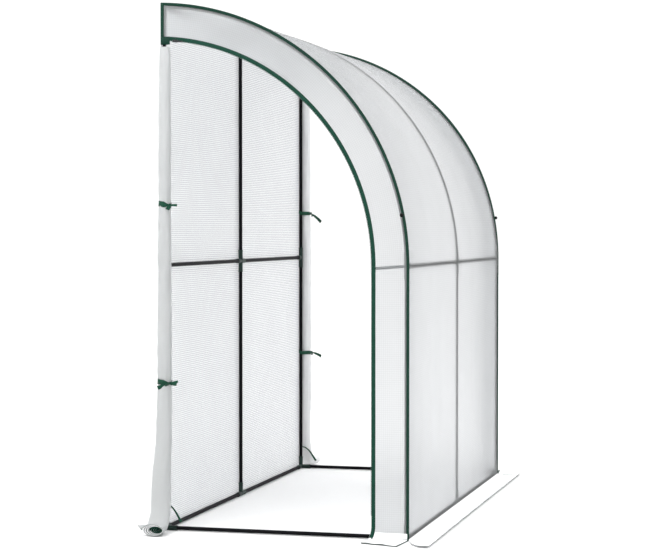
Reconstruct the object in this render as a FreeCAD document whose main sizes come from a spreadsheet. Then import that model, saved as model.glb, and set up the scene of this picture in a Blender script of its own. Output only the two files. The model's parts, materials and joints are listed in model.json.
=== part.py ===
import FreeCAD, Part
import math
import os
import Sketcher

# Lean-to greenhouse: a push-fit frame of steel tube on plastic connectors, under a
# sewn cover with a zipped door at each end, both doors rolled up and tied back.
# Millimetres. The wall is the plane Y = 0, the greenhouse stands on Z = 0 in front of
# it, towards -Y, and X runs along the wall from the near end (-X) to the far end (+X).

doc = FreeCAD.newDocument("LeanToGreenhouse")
sheet = doc.addObject("Spreadsheet::Sheet", "Sizes")

SIZES = [
    # overall sizes
    ("hoop_span", 2040, "end hoop to end hoop, centre lines"),
    ("post_depth", 1000, "wall post to front post, centre lines"),
    ("overall_height", 2130, "floor to the top of the cover at the wall"),
    ("mid_rail_height", 1075, "floor to the middle rails and the hoops' spring line"),
    # frame
    ("tube_radius", 8, "steel tube, outside"),
    ("tube_wall", 0.8, "steel tube, wall"),
    ("tube_stop", 12, "connector centre to the end of each tube"),
    ("socket_reach", 50, "connector centre to the socket's mouth"),
    ("socket_wall", 1.65, "socket, its wall"),
    ("collar_step", 0.7, "collar round a socket's mouth, proud of the socket"),
    ("collar_width", 6, "collar, along the socket"),
    ("ball_step", 0.5, "ball where a connector's arms meet, proud of the sockets"),
    ("bore_clearance", 0.15, "tube to socket, on the radius"),
    ("overrun", 1, "how far a shape that cuts or trims runs past a face"),
    # cover
    ("cover_thickness", 1, "cover sheet"),
    ("cover_gap", 0.5, "collar to cover sheet"),
    ("band_width", 150, "end band, arch to zip"),
    ("arch_binding_width", 13, "green binding on the arch, end face"),
    ("roof_binding_width", 9, "green binding on the arch, roof face"),
    ("binding_thickness", 1.2, "binding and zip tape"),
    ("corner_binding_width", 14, "binding down the wall corner of each end"),
    ("zip_patch_width", 40, "patch at the wall end of the zip, from the wall"),
    ("zip_patch_height", 32, "patch at the wall end of the zip"),
    ("zip_tape_width", 14, "zip tape on the band"),
    ("zip_seam", 2, "inner edge of the tape to the edge of the band's sheet"),
    ("zip_teeth_width", 3, "row of zip teeth"),
    ("zip_teeth_thickness", 2.4, "row of zip teeth"),
    ("stay_width", 12, "tape behind the band at rail height"),
    ("stay_drop", 9, "fall of that tape towards the door"),
    ("stay_inset", 12, "end of that tape to the zip's teeth"),
    ("front_skirt_width", 112, "front skirt on the ground"),
    ("front_skirt_overhang", 145, "front skirt past the near end"),
    ("front_skirt_slit", 1, "front skirt to the band skirt beside it"),
    ("band_skirt_inner", 108, "band skirt on the ground, door side"),
    ("band_skirt_outer", 152, "band skirt on the ground, front side"),
    ("band_skirt_inner_shift", 18, "zip line to the skirt's door-side corner"),
    ("band_skirt_outer_shift", 15, "front face to the skirt's front corner"),
    # rolled doors
    ("roll_radius", 28, "door roll below the rail height"),
    ("roll_shoulder_radius", 24, "door roll at its shoulder"),
    ("roll_top_radius", 14, "door roll at its top"),
    ("roll_flare_radius", 35, "door roll where it loosens above the floor"),
    ("roll_foot_radius", 25, "end of the door roll on the floor"),
    ("roll_wall_gap", 4, "door roll to the wall plane"),
    ("roll_end_gap", 0.4, "door roll to the end plane"),
    ("roll_top_drop", 10, "bottom of the zip patch to the top of the roll"),
    ("roll_shoulder_drop", 250, "top of the roll to its shoulder"),
    ("roll_flare_height", 150, "floor to the widest part of the roll"),
    ("roll_straight_height", 420, "floor to where the roll starts to loosen"),
    ("roll_foot_reach", 165, "end plane to the end of the roll on the floor"),
    ("roll_bend_reach", 93, "how far outwards the roll moves in its bend"),
    ("web_thickness", 1, "door cloth between the wall seam and the roll"),
    ("web_bite", 4, "how far that cloth goes into the roll"),
    # ties
    ("tie_height_low", 200, "floor to the lowest tie"),
    ("tie_height_middle", 605, "floor to the middle tie"),
    ("tie_height_high", 1320, "floor to the highest tie"),
    ("tie_width", 20, "tie tape"),
    ("tie_thickness", 1.2, "tie tape"),
    ("tie_gap", 0.3, "tie to what it goes round"),
    ("tie_knot_radius", 7, "knot"),
    ("tie_knot_turn", 57, "knot's place round the roll, degrees from outwards to the door"),
    ("tie_long_tail", 42, "longer tail"),
    ("tie_long_tail_fall", 18, "longer tail, degrees below level"),
    ("tie_short_tail", 29, "shorter tail"),
    ("tie_short_tail_fall", 58, "shorter tail, degrees below level"),
    ("tie_tail_width", 12, "each tail, folded"),
    # zip slider and its pull
    ("slider_length", 22, "zip slider, along the zip"),
    ("slider_width", 11, "zip slider, across the zip"),
    ("slider_plate", 2, "each plate of the zip slider"),
    ("slider_gap", 0.4, "zip slider to the tape and teeth"),
    ("slider_rest_distance", 62, "wall to the parked zip slider"),
    ("pull_pin_radius", 0.9, "pin of the pull"),
    ("pull_pin_clearance", 0.1, "pull to its pin"),
    ("pull_eye_radius", 1.9, "eye of the pull"),
    ("pull_eye_width", 5.4, "eye of the pull"),
    ("pull_lug_width", 1.3, "each lug that holds the pin"),
    ("pull_length", 32, "pull, from its pin to its end"),
    ("pull_tab_length", 22, "wide part of the pull"),
    ("pull_thickness", 1.4, "pull tab"),
    ("pull_width", 7, "pull tab"),
    # guy toggles
    ("toggle_height", 1275, "floor to the guy toggles"),
    ("toggle_radius", 8, "ball of the toggle"),
    ("toggle_stand", 6, "binding to the ball"),
    ("toggle_loop_radius", 3, "webbing loop that holds the ball"),
]
for row, (alias, value, note) in enumerate(SIZES, start=1):
    sheet.set(f"A{row}", alias)
    sheet.set(f"B{row}", str(value))
    sheet.set(f"C{row}", note)
    sheet.setAlias(f"B{row}", alias)

# Sizes that follow from the ones above.
DERIVED = [
    ("socket_radius", "=tube_radius + bore_clearance + socket_wall"),
    ("collar_radius", "=socket_radius + collar_step"),
    ("ball_radius", "=socket_radius + ball_step"),
    ("cover_offset", "=cover_thickness + cover_gap + collar_radius"),
    ("wall_line", "=-cover_offset"),
    ("front_line", "=wall_line - post_depth"),
    ("front_face", "=front_line - cover_offset"),
    ("ground_line", "=collar_radius"),
    ("rise", "=overall_height - cover_offset - mid_rail_height"),
    ("hoop_radius", "=(post_depth * post_depth + rise * rise) / (2 * post_depth)"),
    ("arc_y", "=front_line + hoop_radius"),
    ("ridge_line", "=mid_rail_height + sqrt(hoop_radius ^ 2 - (arc_y - wall_line) ^ 2)"),
    ("foot_lean", "=asin(socket_reach / hoop_radius) / 2"),
    ("head_start", "=acos((arc_y - wall_line) / hoop_radius)"),
    ("head_end", "=acos((arc_y - wall_line + socket_reach) / hoop_radius)"),
    ("head_lean", "=180 deg - (head_start + head_end) / 2"),
    ("cover_radius", "=hoop_radius + cover_offset"),
    ("half_span", "=hoop_span / 2"),
    ("end_face", "=half_span + cover_offset"),
    ("end_inner", "=end_face - cover_thickness"),
    ("zip_radius", "=cover_radius - band_width"),
    ("zip_line", "=front_face + band_width"),
    ("tape_radius", "=zip_radius + zip_tape_width"),
    ("wall_top", "=mid_rail_height + sqrt(cover_radius ^ 2 - arc_y ^ 2)"),
    ("patch_top", "=mid_rail_height + sqrt(tape_radius ^ 2 - arc_y ^ 2)"),
    ("patch_bottom", "=patch_top - zip_patch_height"),
    ("roll_top", "=patch_bottom - roll_top_drop"),
    ("slider_turn", "=acos((arc_y + slider_rest_distance) / zip_radius)"),
]
first = len(SIZES) + 2
for row, (alias, formula) in enumerate(DERIVED, start=first):
    sheet.set(f"A{row}", alias)
    sheet.set(f"B{row}", formula)
    sheet.setAlias(f"B{row}", alias)
doc.recompute()


def size(alias):
    """A value of the sheet as a plain number."""
    value = getattr(sheet, alias)
    return float(getattr(value, "Value", value))


def evaluate(formula):
    """The present value of a formula of the sheet."""
    value = sheet.evalExpression(formula)
    return float(getattr(value, "Value", value))


NAMES = [alias for alias, *_ in SIZES + DERIVED]


def bound(text):
    """A formula with each sheet alias written as a reference to the sheet."""
    words = []
    word = ""
    for letter in text + " ":
        if letter.isalnum() or letter == "_":
            word += letter
            continue
        words.append("Sizes." + word if word in NAMES else word)
        words.append(letter)
        word = ""
    return "".join(words).strip()


parts = []
counter = 0


def add(kind, **bindings):
    """A document object with the given properties bound to formulas of the sheet."""
    global counter
    counter += 1
    item = doc.addObject(kind, f"Item{counter}")
    for name, formula in bindings.items():
        item.setExpression(name, bound(formula))
    return item


def put(item, x="0", y="0", z="0", turn=None):
    """Places an object at a point given by formulas, after turning it."""
    if turn is not None:
        item.Placement = FreeCAD.Placement(FreeCAD.Vector(0, 0, 0), turn)
    item.setExpression("Placement.Base.x", bound(x))
    item.setExpression("Placement.Base.y", bound(y))
    item.setExpression("Placement.Base.z", bound(z))
    return item


def finished(item, label):
    """Marks an object as the sub-part with this name."""
    item.Label = label
    parts.append(item)
    return item


def joined(items):
    if len(items) == 1:
        return items[0]
    item = add("Part::MultiFuse")
    item.Shapes = items
    return item


def cut(base, tool):
    item = add("Part::Cut")
    item.Base = base
    item.Tool = tool
    return item


def common(base, tool):
    item = add("Part::Common")
    item.Base = base
    item.Tool = tool
    return item


AXES = {
    "+x": FreeCAD.Vector(1, 0, 0),
    "-x": FreeCAD.Vector(-1, 0, 0),
    "+y": FreeCAD.Vector(0, 1, 0),
    "-y": FreeCAD.Vector(0, -1, 0),
    "+z": FreeCAD.Vector(0, 0, 1),
    "-z": FreeCAD.Vector(0, 0, -1),
}


def towards(direction):
    """The turn that brings +Z to a direction."""
    return FreeCAD.Rotation(AXES["+z"], AXES[direction])


def rod(direction, radius, start, length, at):
    """A cylinder that starts a distance from a point and runs in one direction."""
    item = add("Part::Cylinder", Radius=radius, Height=length)
    sign = "+" if direction[0] == "+" else "-"
    place = dict(at)
    axis = direction[1]
    place[axis] = f"{at[axis]} {sign} ({start})"
    return put(item, **place, turn=towards(direction))


def block(x, y, z):
    """A box between low and high formulas along each axis."""
    item = add(
        "Part::Box",
        Length=f"({x[1]}) - ({x[0]})",
        Width=f"({y[1]}) - ({y[0]})",
        Height=f"({z[1]}) - ({z[0]})",
    )
    return put(item, x[0], y[0], z[0])


def tube(label, direction, length, at):
    """A straight steel tube from one connector's stop to the next one's."""
    run = f"({length}) - 2 * tube_stop"
    outside = rod(direction, "tube_radius", "tube_stop", run, at)
    inside = rod(direction, "tube_radius - tube_wall", "tube_stop", run, at)
    return finished(cut(outside, inside), label)


# The hoops' arc lies across the wall: it starts at the front, at rail height, and
# climbs to the ridge. This turn lays a torus in that plane.
ARC_TURN = FreeCAD.Rotation(AXES["-y"], AXES["+z"], AXES["-x"], "ZXY")
HALF_TURN = 180


def arc_rod(radius, x):
    """A round bar bent along the hoop's arc, as half a torus."""
    item = add("Part::Torus", Radius1="hoop_radius", Radius2=radius)
    item.Angle3 = HALF_TURN
    return put(item, x, "arc_y", "mid_rail_height", turn=ARC_TURN)


def around(line):
    """The range about a tube's centre line that holds its sockets and collars."""
    return (f"{line} - 2 * collar_radius", f"{line} + 2 * collar_radius")


def leaning_rod(lean, radius, start, length, at):
    """A cylinder that leaves a point upwards, leaning over towards -Y by an angle."""
    item = add("Part::Cylinder", Radius=radius, Height=length)
    item.Placement = FreeCAD.Placement(
        FreeCAD.Vector(0, 0, 0), FreeCAD.Rotation(AXES["+x"], 45)
    )
    put(
        item,
        at["x"],
        f"{at['y']} - ({start}) * sin({lean})",
        f"{at['z']} + ({start}) * cos({lean})",
    )
    item.setExpression("Placement.Rotation.Angle", bound(lean))
    return item


def hoop_arm(at, lean, bore_y, bore_z):
    """A connector's arm for a hoop: straight outside, and bored along the hoop's curve."""
    body = leaning_rod(lean, "socket_radius", "0", "socket_reach", at)
    collar = leaning_rod(
        lean, "collar_radius", "socket_reach - collar_width", "collar_width", at
    )
    curve = arc_rod("tube_radius + bore_clearance", at["x"])
    return [body, collar], common(curve, block(around(at["x"]), bore_y, bore_z))


def socket(direction, at):
    """One arm of a connector: its body with a collar at the mouth, and its bore."""
    past_mouth = "socket_reach + 2 * overrun"
    if direction == "hoop_foot":
        heights = (f"{at['z']} + tube_stop", f"{at['z']} + {past_mouth}")
        return hoop_arm(at, "-foot_lean", around("front_line"), heights)
    if direction == "hoop_head":
        depths = (f"wall_line - ({past_mouth})", "wall_line - tube_stop")
        heights = ("ridge_line - socket_reach", "ridge_line + socket_reach")
        return hoop_arm(at, "head_lean", depths, heights)
    body = rod(direction, "socket_radius", "0", "socket_reach", at)
    collar = rod(
        direction, "collar_radius", "socket_reach - collar_width", "collar_width", at
    )
    bore = rod(
        direction, "tube_radius + bore_clearance", "tube_stop", "socket_reach", at
    )
    return [body, collar], bore


def connector(label, x, y, z, directions):
    """A moulded connector: arms that meet in a ball, bored for the tubes."""
    at = {"x": x, "y": y, "z": z}
    bodies = [put(add("Part::Sphere", Radius="ball_radius"), x, y, z)]
    bores = []
    for direction in directions:
        solids, bore = socket(direction, at)
        bodies += solids
        bores.append(bore)
    return finished(cut(joined(bodies), joined(bores)), label)


# Frame: three hoops on posts, and the rails between them.
STATIONS = [("near", "-half_span"), ("middle", "0"), ("far", "half_span")]
BAYS = [("near", "-half_span"), ("far", "0")]

for place, x in STATIONS:
    lower = "mid_rail_height - ground_line"
    upper = "ridge_line - mid_rail_height"
    wall_foot = {"x": x, "y": "wall_line", "z": "ground_line"}
    wall_waist = {"x": x, "y": "wall_line", "z": "mid_rail_height"}
    front_foot = {"x": x, "y": "front_line", "z": "ground_line"}
    tube(f"wall_post_lower_{place}", "+z", lower, wall_foot)
    tube(f"wall_post_upper_{place}", "+z", upper, wall_waist)
    tube(f"front_post_{place}", "+z", lower, front_foot)
    bent = cut(arc_rod("tube_radius", x), arc_rod("tube_radius - tube_wall", x))
    window = block(
        around(x),
        ("front_line - post_depth", "wall_line - tube_stop"),
        ("mid_rail_height + tube_stop", "ridge_line + post_depth"),
    )
    finished(common(bent, window), f"hoop_{place}")

RAILS = [
    ("wall_ground_rail", "wall_line", "ground_line"),
    ("front_ground_rail", "front_line", "ground_line"),
    ("wall_middle_rail", "wall_line", "mid_rail_height"),
    ("front_middle_rail", "front_line", "mid_rail_height"),
    ("ridge_rail", "wall_line", "ridge_line"),
]
for name, y, z in RAILS:
    for bay, x in BAYS:
        tube(f"{name}_{bay}", "+x", "half_span", {"x": x, "y": y, "z": z})

for place, x in (STATIONS[0], STATIONS[2]):
    foot = {"x": x, "y": "wall_line", "z": "ground_line"}
    tube(f"end_ground_rail_{place}", "-y", "post_depth", foot)

# Connectors: each has an arm for every tube that ends in it.
ALONG = {"near": ["+x"], "middle": ["+x", "-x"], "far": ["-x"]}
for place, x in STATIONS:
    along = ALONG[place]
    wall_end = [] if place == "middle" else ["-y"]
    front_end = [] if place == "middle" else ["+y"]
    connector(
        f"wall_foot_connector_{place}",
        x,
        "wall_line",
        "ground_line",
        ["+z"] + along + wall_end,
    )
    connector(
        f"front_foot_connector_{place}",
        x,
        "front_line",
        "ground_line",
        ["+z"] + along + front_end,
    )
    connector(
        f"wall_middle_connector_{place}",
        x,
        "wall_line",
        "mid_rail_height",
        ["+z", "-z"] + along,
    )
    connector(
        f"front_middle_connector_{place}",
        x,
        "front_line",
        "mid_rail_height",
        ["hoop_foot", "-z"] + along,
    )
    connector(
        f"ridge_connector_{place}",
        x,
        "wall_line",
        "ridge_line",
        ["-z", "hoop_head"] + along,
    )


# Cover. Everything that follows the arch is a ring of some width, or its shell,
# kept in front of the wall panel and above the rail height, with a straight leg
# down to the ground.
def disc(radius, x):
    """A cylinder along X round the arch's centre."""
    item = add("Part::Cylinder", Radius=radius, Height=f"({x[1]}) - ({x[0]})")
    return put(item, x[0], "arc_y", "mid_rail_height", turn=towards("+x"))


def arch(outer, inner, x, high_y, foot):
    """A strip that follows the arch between two radii and runs down to the foot."""
    ring = cut(disc(outer, x), disc(inner, x))
    window = block(
        (f"{x[0]} - overrun", f"{x[1]} + overrun"),
        ("front_face - post_depth", high_y),
        ("mid_rail_height", "wall_top + post_depth"),
    )
    leg = block(x, (f"arc_y - ({outer})", f"arc_y - ({inner})"), (foot, "mid_rail_height"))
    return joined([common(ring, window), leg])


SKIRT_TOP = "cover_thickness"
PANEL_FACE = "-cover_thickness"

roof = arch(
    "cover_radius",
    "cover_radius - cover_thickness",
    ("-end_inner", "end_inner"),
    PANEL_FACE,
    SKIRT_TOP,
)
finished(roof, "roof_and_front_panel")

wall_panel = block(("-end_face", "end_face"), (PANEL_FACE, "0"), ("0", "wall_top"))
finished(wall_panel, "wall_panel")

ENDS = [("near", -1), ("far", 1)]


def outward(side, low, high):
    """The X range between two distances from the middle, towards one end."""
    if side < 0:
        return (f"-({high})", f"-({low})")
    return (low, high)


def ahead(side, distance):
    """An X position at a distance from the middle, towards one end."""
    return f"-({distance})" if side < 0 else distance


for end, side in ENDS:
    # End band, from the arch to the zip.
    sheet_x = outward(side, "end_inner", "end_face")
    band = arch(
        "cover_radius", "zip_radius + zip_seam", sheet_x, PANEL_FACE, SKIRT_TOP
    )
    finished(band, f"end_band_{end}")

    # Green binding over the arch's seam, and down the wall corner to the zip's patch.
    face_x = outward(side, "end_face", "end_face + binding_thickness")
    seam_x = outward(
        side, "end_face - roof_binding_width", "end_face + binding_thickness"
    )
    on_face = arch(
        "cover_radius",
        "cover_radius - arch_binding_width",
        face_x,
        PANEL_FACE,
        SKIRT_TOP,
    )
    on_roof = arch(
        "cover_radius + binding_thickness",
        "cover_radius",
        seam_x,
        PANEL_FACE,
        SKIRT_TOP,
    )
    corner = block(
        face_x, ("-corner_binding_width", PANEL_FACE), ("patch_bottom", "wall_top")
    )
    patch = block(
        face_x, ("-zip_patch_width", PANEL_FACE), ("patch_bottom", "patch_top")
    )
    kept = common(joined([corner, patch]), disc("cover_radius", face_x))
    finished(joined([on_face, on_roof, kept]), f"arch_binding_{end}")

    # Half of the zip that is sewn to the band: its tape and its row of teeth.
    tape = arch(
        "tape_radius", "zip_radius", face_x, "-zip_patch_width", SKIRT_TOP
    )
    middle = "end_face + binding_thickness / 2"
    teeth_x = outward(
        side,
        f"{middle} - zip_teeth_thickness / 2",
        f"{middle} + zip_teeth_thickness / 2",
    )
    teeth = arch(
        "zip_radius",
        "zip_radius - zip_teeth_width",
        teeth_x,
        "-zip_patch_width",
        SKIRT_TOP,
    )
    finished(joined([tape, teeth]), f"band_zip_{end}")


# Skirts: flat pieces that lie on the ground.
def flat_piece(label, points):
    """A sheet on the floor, cut to a closed outline of straight edges."""
    outline = doc.addObject("Sketcher::SketchObject", f"Outline_{label}")
    corners = []
    for x, y in points:
        corners.append((evaluate(x), evaluate(y)))
    count = len(points)
    for index in range(count):
        start = FreeCAD.Vector(*corners[index], 0)
        end = FreeCAD.Vector(*corners[(index + 1) % count], 0)
        outline.addGeometry(Part.LineSegment(start, end), False)
    for index in range(count):
        following = (index + 1) % count
        outline.addConstraint(
            Sketcher.Constraint("Coincident", index, 2, following, 1)
        )
    for index, (x, y) in enumerate(points):
        across = outline.addConstraint(
            Sketcher.Constraint("DistanceX", -1, 1, index, 1, corners[index][0])
        )
        up = outline.addConstraint(
            Sketcher.Constraint("DistanceY", -1, 1, index, 1, corners[index][1])
        )
        outline.setExpression(f"Constraints[{across}]", bound(x))
        outline.setExpression(f"Constraints[{up}]", bound(y))
    solid = add("Part::Extrusion", LengthFwd="cover_thickness")
    solid.Base = outline
    solid.DirMode = "Normal"
    solid.Solid = True
    return finished(solid, label)


skirt_edge = "front_face - front_skirt_width"
skirt_root = "front_face + cover_thickness"
front_outline = [
    ("-end_inner", skirt_root),
    ("end_face", skirt_root),
    ("end_face", skirt_edge),
    ("-end_face - front_skirt_overhang", skirt_edge),
]
# The near corner's edge is a curve, given as shares of the overhang and the width.
for out, forward in ((0.9, 0.6), (0.6, 0.27)):
    front_outline.append(
        (
            f"-end_face - front_skirt_overhang * {out}",
            f"front_face - front_skirt_width * {forward}",
        )
    )
front_outline.append(("-end_inner", "front_face - front_skirt_slit"))
flat_piece("front_skirt", front_outline)
for end, side in ENDS:
    root = ahead(side, "end_inner")
    tip = ahead(side, "end_face + band_skirt_inner")
    corner = ahead(side, "end_face + band_skirt_outer")
    flat_piece(
        f"band_skirt_{end}",
        [
            (root, "zip_line"),
            (tip, "zip_line + band_skirt_inner_shift"),
            (corner, "front_face + band_skirt_outer_shift"),
            (root, "front_face + cover_thickness + front_skirt_slit"),
        ],
    )


# Shapes below are set from the sheet's present values.
def shaped(label, shape):
    """A sub-part whose shape is worked out here."""
    item = doc.addObject("Part::Feature", f"Item_{label}")
    item.Shape = shape
    item.Placement = FreeCAD.Placement()
    return finished(item, label)


def circle_wire(centre, across, up, radius):
    """A circle as three arcs that start at the same place on every section."""
    arc_ends = 6
    points = []
    for step in range(arc_ends):
        turn = 2 * math.pi * step / arc_ends
        points.append(
            centre + across * (radius * math.cos(turn)) + up * (radius * math.sin(turn))
        )
    arcs = []
    for step in range(0, arc_ends, 2):
        end = points[(step + 2) % arc_ends]
        arcs.append(Part.Arc(points[step], points[step + 1], end).toShape())
    return Part.Wire(arcs)


# Door roll: the unzipped door, wound from its front edge towards the wall seam. It
# thins towards the top, where the door is narrow, loosens above the floor, and its
# end is bent outwards along the floor.
FOOT_RADIUS = size("roll_foot_radius")
FLARE_HEIGHT = size("roll_flare_height")
STRAIGHT_HEIGHT = size("roll_straight_height")
ROLL_TOP = size("roll_top")
BACK_X = size("end_face") + size("roll_end_gap")


def roll_radius_at(height):
    """The door roll's radius at a height above its bend."""
    knots = [
        (FLARE_HEIGHT, size("roll_flare_radius")),
        (STRAIGHT_HEIGHT, size("roll_radius")),
        (size("mid_rail_height"), size("roll_radius")),
        (ROLL_TOP - size("roll_shoulder_drop"), size("roll_shoulder_radius")),
        (ROLL_TOP, size("roll_top_radius")),
    ]
    for (low, low_radius), (high, high_radius) in zip(knots, knots[1:]):
        if height <= high:
            share = max(0.0, (height - low) / (high - low))
            return low_radius + share * (high_radius - low_radius)
    return knots[-1][1]


def roll_centre_y(radius):
    """The roll keeps its distance from the wall, whatever its radius there."""
    return -size("roll_wall_gap") - radius


def door_roll(side):
    """The roll as a loft: straight down the post, then bent out along the floor."""
    sections = []
    heights = [
        ROLL_TOP,
        ROLL_TOP - size("roll_shoulder_drop"),
        size("mid_rail_height"),
        STRAIGHT_HEIGHT,
        FLARE_HEIGHT,
    ]
    outwards = FreeCAD.Vector(side, 0, 0)
    sideways = FreeCAD.Vector(0, 1, 0)
    for height in heights:
        radius = roll_radius_at(height)
        centre = FreeCAD.Vector(
            side * (BACK_X + radius), roll_centre_y(radius), height
        )
        sections.append(circle_wire(centre, outwards, sideways, radius))
    # The bend: the section turns from level to upright while it moves outwards.
    start_radius = size("roll_flare_radius")
    start_x = BACK_X + start_radius
    bend_steps = 3
    end_x = size("end_face") + size("roll_foot_reach")
    drop = FLARE_HEIGHT - FOOT_RADIUS
    run = size("roll_bend_reach")
    for step in range(1, bend_steps + 1):
        turn = math.pi / 2 * step / bend_steps
        radius = start_radius + (FOOT_RADIUS - start_radius) * step / bend_steps
        centre = FreeCAD.Vector(
            side * (start_x + run * (1 - math.cos(turn))),
            roll_centre_y(radius),
            FLARE_HEIGHT - drop * math.sin(turn),
        )
        tilted = outwards * math.cos(turn) + FreeCAD.Vector(0, 0, math.sin(turn))
        sections.append(circle_wire(centre, tilted, sideways, radius))
    centre = FreeCAD.Vector(side * end_x, roll_centre_y(FOOT_RADIUS), FOOT_RADIUS)
    upright = FreeCAD.Vector(0, 0, 1)
    sections.append(circle_wire(centre, upright, sideways, FOOT_RADIUS))
    return Part.makeLoft(sections, True, True)


def seam_web(side):
    """The door cloth between the wall seam and the roll, from flare to shoulder."""
    thickness = size("web_thickness")
    gap = size("tie_gap")
    low = STRAIGHT_HEIGHT
    high = size("mid_rail_height")
    radius = size("roll_radius")
    corner = FreeCAD.Vector(size("end_face") + gap, -size("cover_thickness"), 0)
    centre = FreeCAD.Vector(BACK_X + radius, roll_centre_y(radius), 0)
    along = (centre - corner).normalize()
    length = (centre - corner).Length - radius + size("web_bite")
    turn = math.degrees(math.atan2(along.y, along.x))
    web = Part.makeBox(
        length, thickness, high - low, FreeCAD.Vector(0, -thickness / 2, low)
    )
    web.rotate(FreeCAD.Vector(0, 0, 0), FreeCAD.Vector(0, 0, 1), turn)
    web.translate(corner)
    if side < 0:
        web = web.mirror(FreeCAD.Vector(0, 0, 0), FreeCAD.Vector(1, 0, 0))
    return web


for end, side in ENDS:
    shaped(f"door_roll_{end}", door_roll(side).fuse(seam_web(side)))


# Ties: tape that goes once round the wall post and the roll and is knotted on the
# door side, with two tails.
def stadium(first, first_radius, second, second_radius, low, height):
    """The solid between two parallel rods and the flats tangent to both."""
    gap = second - first
    distance = gap.Length
    heading = math.atan2(gap.y, gap.x)
    lean = math.acos((first_radius - second_radius) / distance)
    corners = []
    for centre, radius, sense in (
        (first, first_radius, 1),
        (first, first_radius, -1),
        (second, second_radius, -1),
        (second, second_radius, 1),
    ):
        angle = heading + sense * lean
        corners.append(
            centre + FreeCAD.Vector(math.cos(angle), math.sin(angle), 0) * radius
        )
    away = FreeCAD.Vector(math.cos(heading), math.sin(heading), 0)
    first_edge = Part.Arc(corners[0], first - away * first_radius, corners[1])
    second_edge = Part.Arc(corners[2], second + away * second_radius, corners[3])
    wire = Part.Wire(
        [
            first_edge.toShape(),
            Part.LineSegment(corners[1], corners[2]).toShape(),
            second_edge.toShape(),
            Part.LineSegment(corners[3], corners[0]).toShape(),
        ]
    )
    solid = Part.Face(wire).extrude(FreeCAD.Vector(0, 0, height))
    solid.translate(FreeCAD.Vector(0, 0, low))
    return solid


def tie(height):
    """One tie at the far end, as a closed loop with a knot and tails."""
    gap = size("tie_gap")
    thickness = size("tie_thickness")
    width = size("tie_width")
    low = height - width / 2
    overrun = size("overrun")
    radius = max(roll_radius_at(low), roll_radius_at(low + width))
    post = FreeCAD.Vector(size("half_span"), size("wall_line"), 0)
    roll = FreeCAD.Vector(BACK_X + radius, roll_centre_y(radius), 0)
    inner = (size("tube_radius") + gap, radius + gap)
    outer = (inner[0] + thickness, inner[1] + thickness)
    loop = stadium(post, outer[0], roll, outer[1], low, width).cut(
        stadium(post, inner[0], roll, inner[1], low - overrun, width + 2 * overrun)
    )
    # The loop is knotted on the outside of the roll, towards the door.
    knot_radius = size("tie_knot_radius")
    knot_turn = math.radians(size("tie_knot_turn"))
    toward_door = FreeCAD.Vector(math.cos(knot_turn), -math.sin(knot_turn), 0)
    knot_centre = roll + toward_door * (outer[1] + knot_radius - thickness / 2)
    knot_centre.z = height
    knot = Part.makeSphere(knot_radius, knot_centre)
    solid = loop.fuse(knot)
    tail_width = size("tie_tail_width")
    for name in ("tie_long_tail", "tie_short_tail"):
        length = size(name)
        corner = FreeCAD.Vector(-thickness / 2, -length, -tail_width / 2)
        tail = Part.makeBox(thickness, length, tail_width, corner)
        tail.rotate(
            FreeCAD.Vector(0, 0, 0), FreeCAD.Vector(1, 0, 0), size(f"{name}_fall")
        )
        tail.translate(knot_centre)
        solid = solid.fuse(tail)
    return solid


OFFSET_TOLERANCE = 0.01


def tie_group(side):
    """The three ties of one door."""
    solids = []
    for name in ("tie_height_low", "tie_height_middle", "tie_height_high"):
        height = size(name)
        solid = tie(height)
        if side < 0:
            solid = solid.mirror(FreeCAD.Vector(0, 0, 0), FreeCAD.Vector(1, 0, 0))
        # The tie passes on both sides of the door's cloth, clear of it.
        web = seam_web(side)
        if solid.distToShape(web)[0] < size("tie_gap"):
            solid = solid.cut(web.makeOffsetShape(size("tie_gap"), OFFSET_TOLERANCE))
        solids += solid.Solids
    return Part.makeCompound(solids)


for end, side in ENDS:
    shaped(f"door_ties_{end}", tie_group(side))

# Stays: a tape behind each band at rail height, falling a little to the zip.
stay_solids = []
for end, side in ENDS:
    thickness = size("cover_thickness")
    inner_face = size("end_inner")
    half = size("stay_width") / 2
    front = size("front_line") + size("collar_radius") + size("overrun")
    door = size("zip_line") - size("stay_inset")
    top = size("mid_rail_height")
    low = top - size("stay_drop")
    x = side * inner_face
    outline = [
        FreeCAD.Vector(x, front, top - half),
        FreeCAD.Vector(x, door, low - half),
        FreeCAD.Vector(x, door, low + half),
        FreeCAD.Vector(x, front, top + half),
    ]
    face = Part.Face(Part.makePolygon(outline + outline[:1]))
    stay_solids.append(face.extrude(FreeCAD.Vector(-side * thickness, 0, 0)))
shaped("band_stays", Part.makeCompound(stay_solids))

# Guy toggles: a black ball on a short webbing loop sewn into each arch's seam.
toggle_solids = []
for end, side in ENDS:
    rise = size("toggle_height") - size("mid_rail_height")
    reach = size("cover_radius") - size("arch_binding_width") / 2
    across = math.sqrt(reach**2 - rise**2)
    x = side * (size("end_face") + size("binding_thickness"))
    root = FreeCAD.Vector(x, size("arc_y") - across, size("toggle_height"))
    out = FreeCAD.Vector(side, 0, 0)
    stand = size("toggle_stand")
    ball_reach = stand + size("toggle_radius")
    loop = Part.makeCylinder(size("toggle_loop_radius"), ball_reach, root, out)
    ball_centre = root + out * ball_reach
    ball = Part.makeSphere(size("toggle_radius"), ball_centre, out)
    toggle_solids.append(loop.fuse(ball))
shaped("guy_toggles", Part.makeCompound(toggle_solids))


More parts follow.
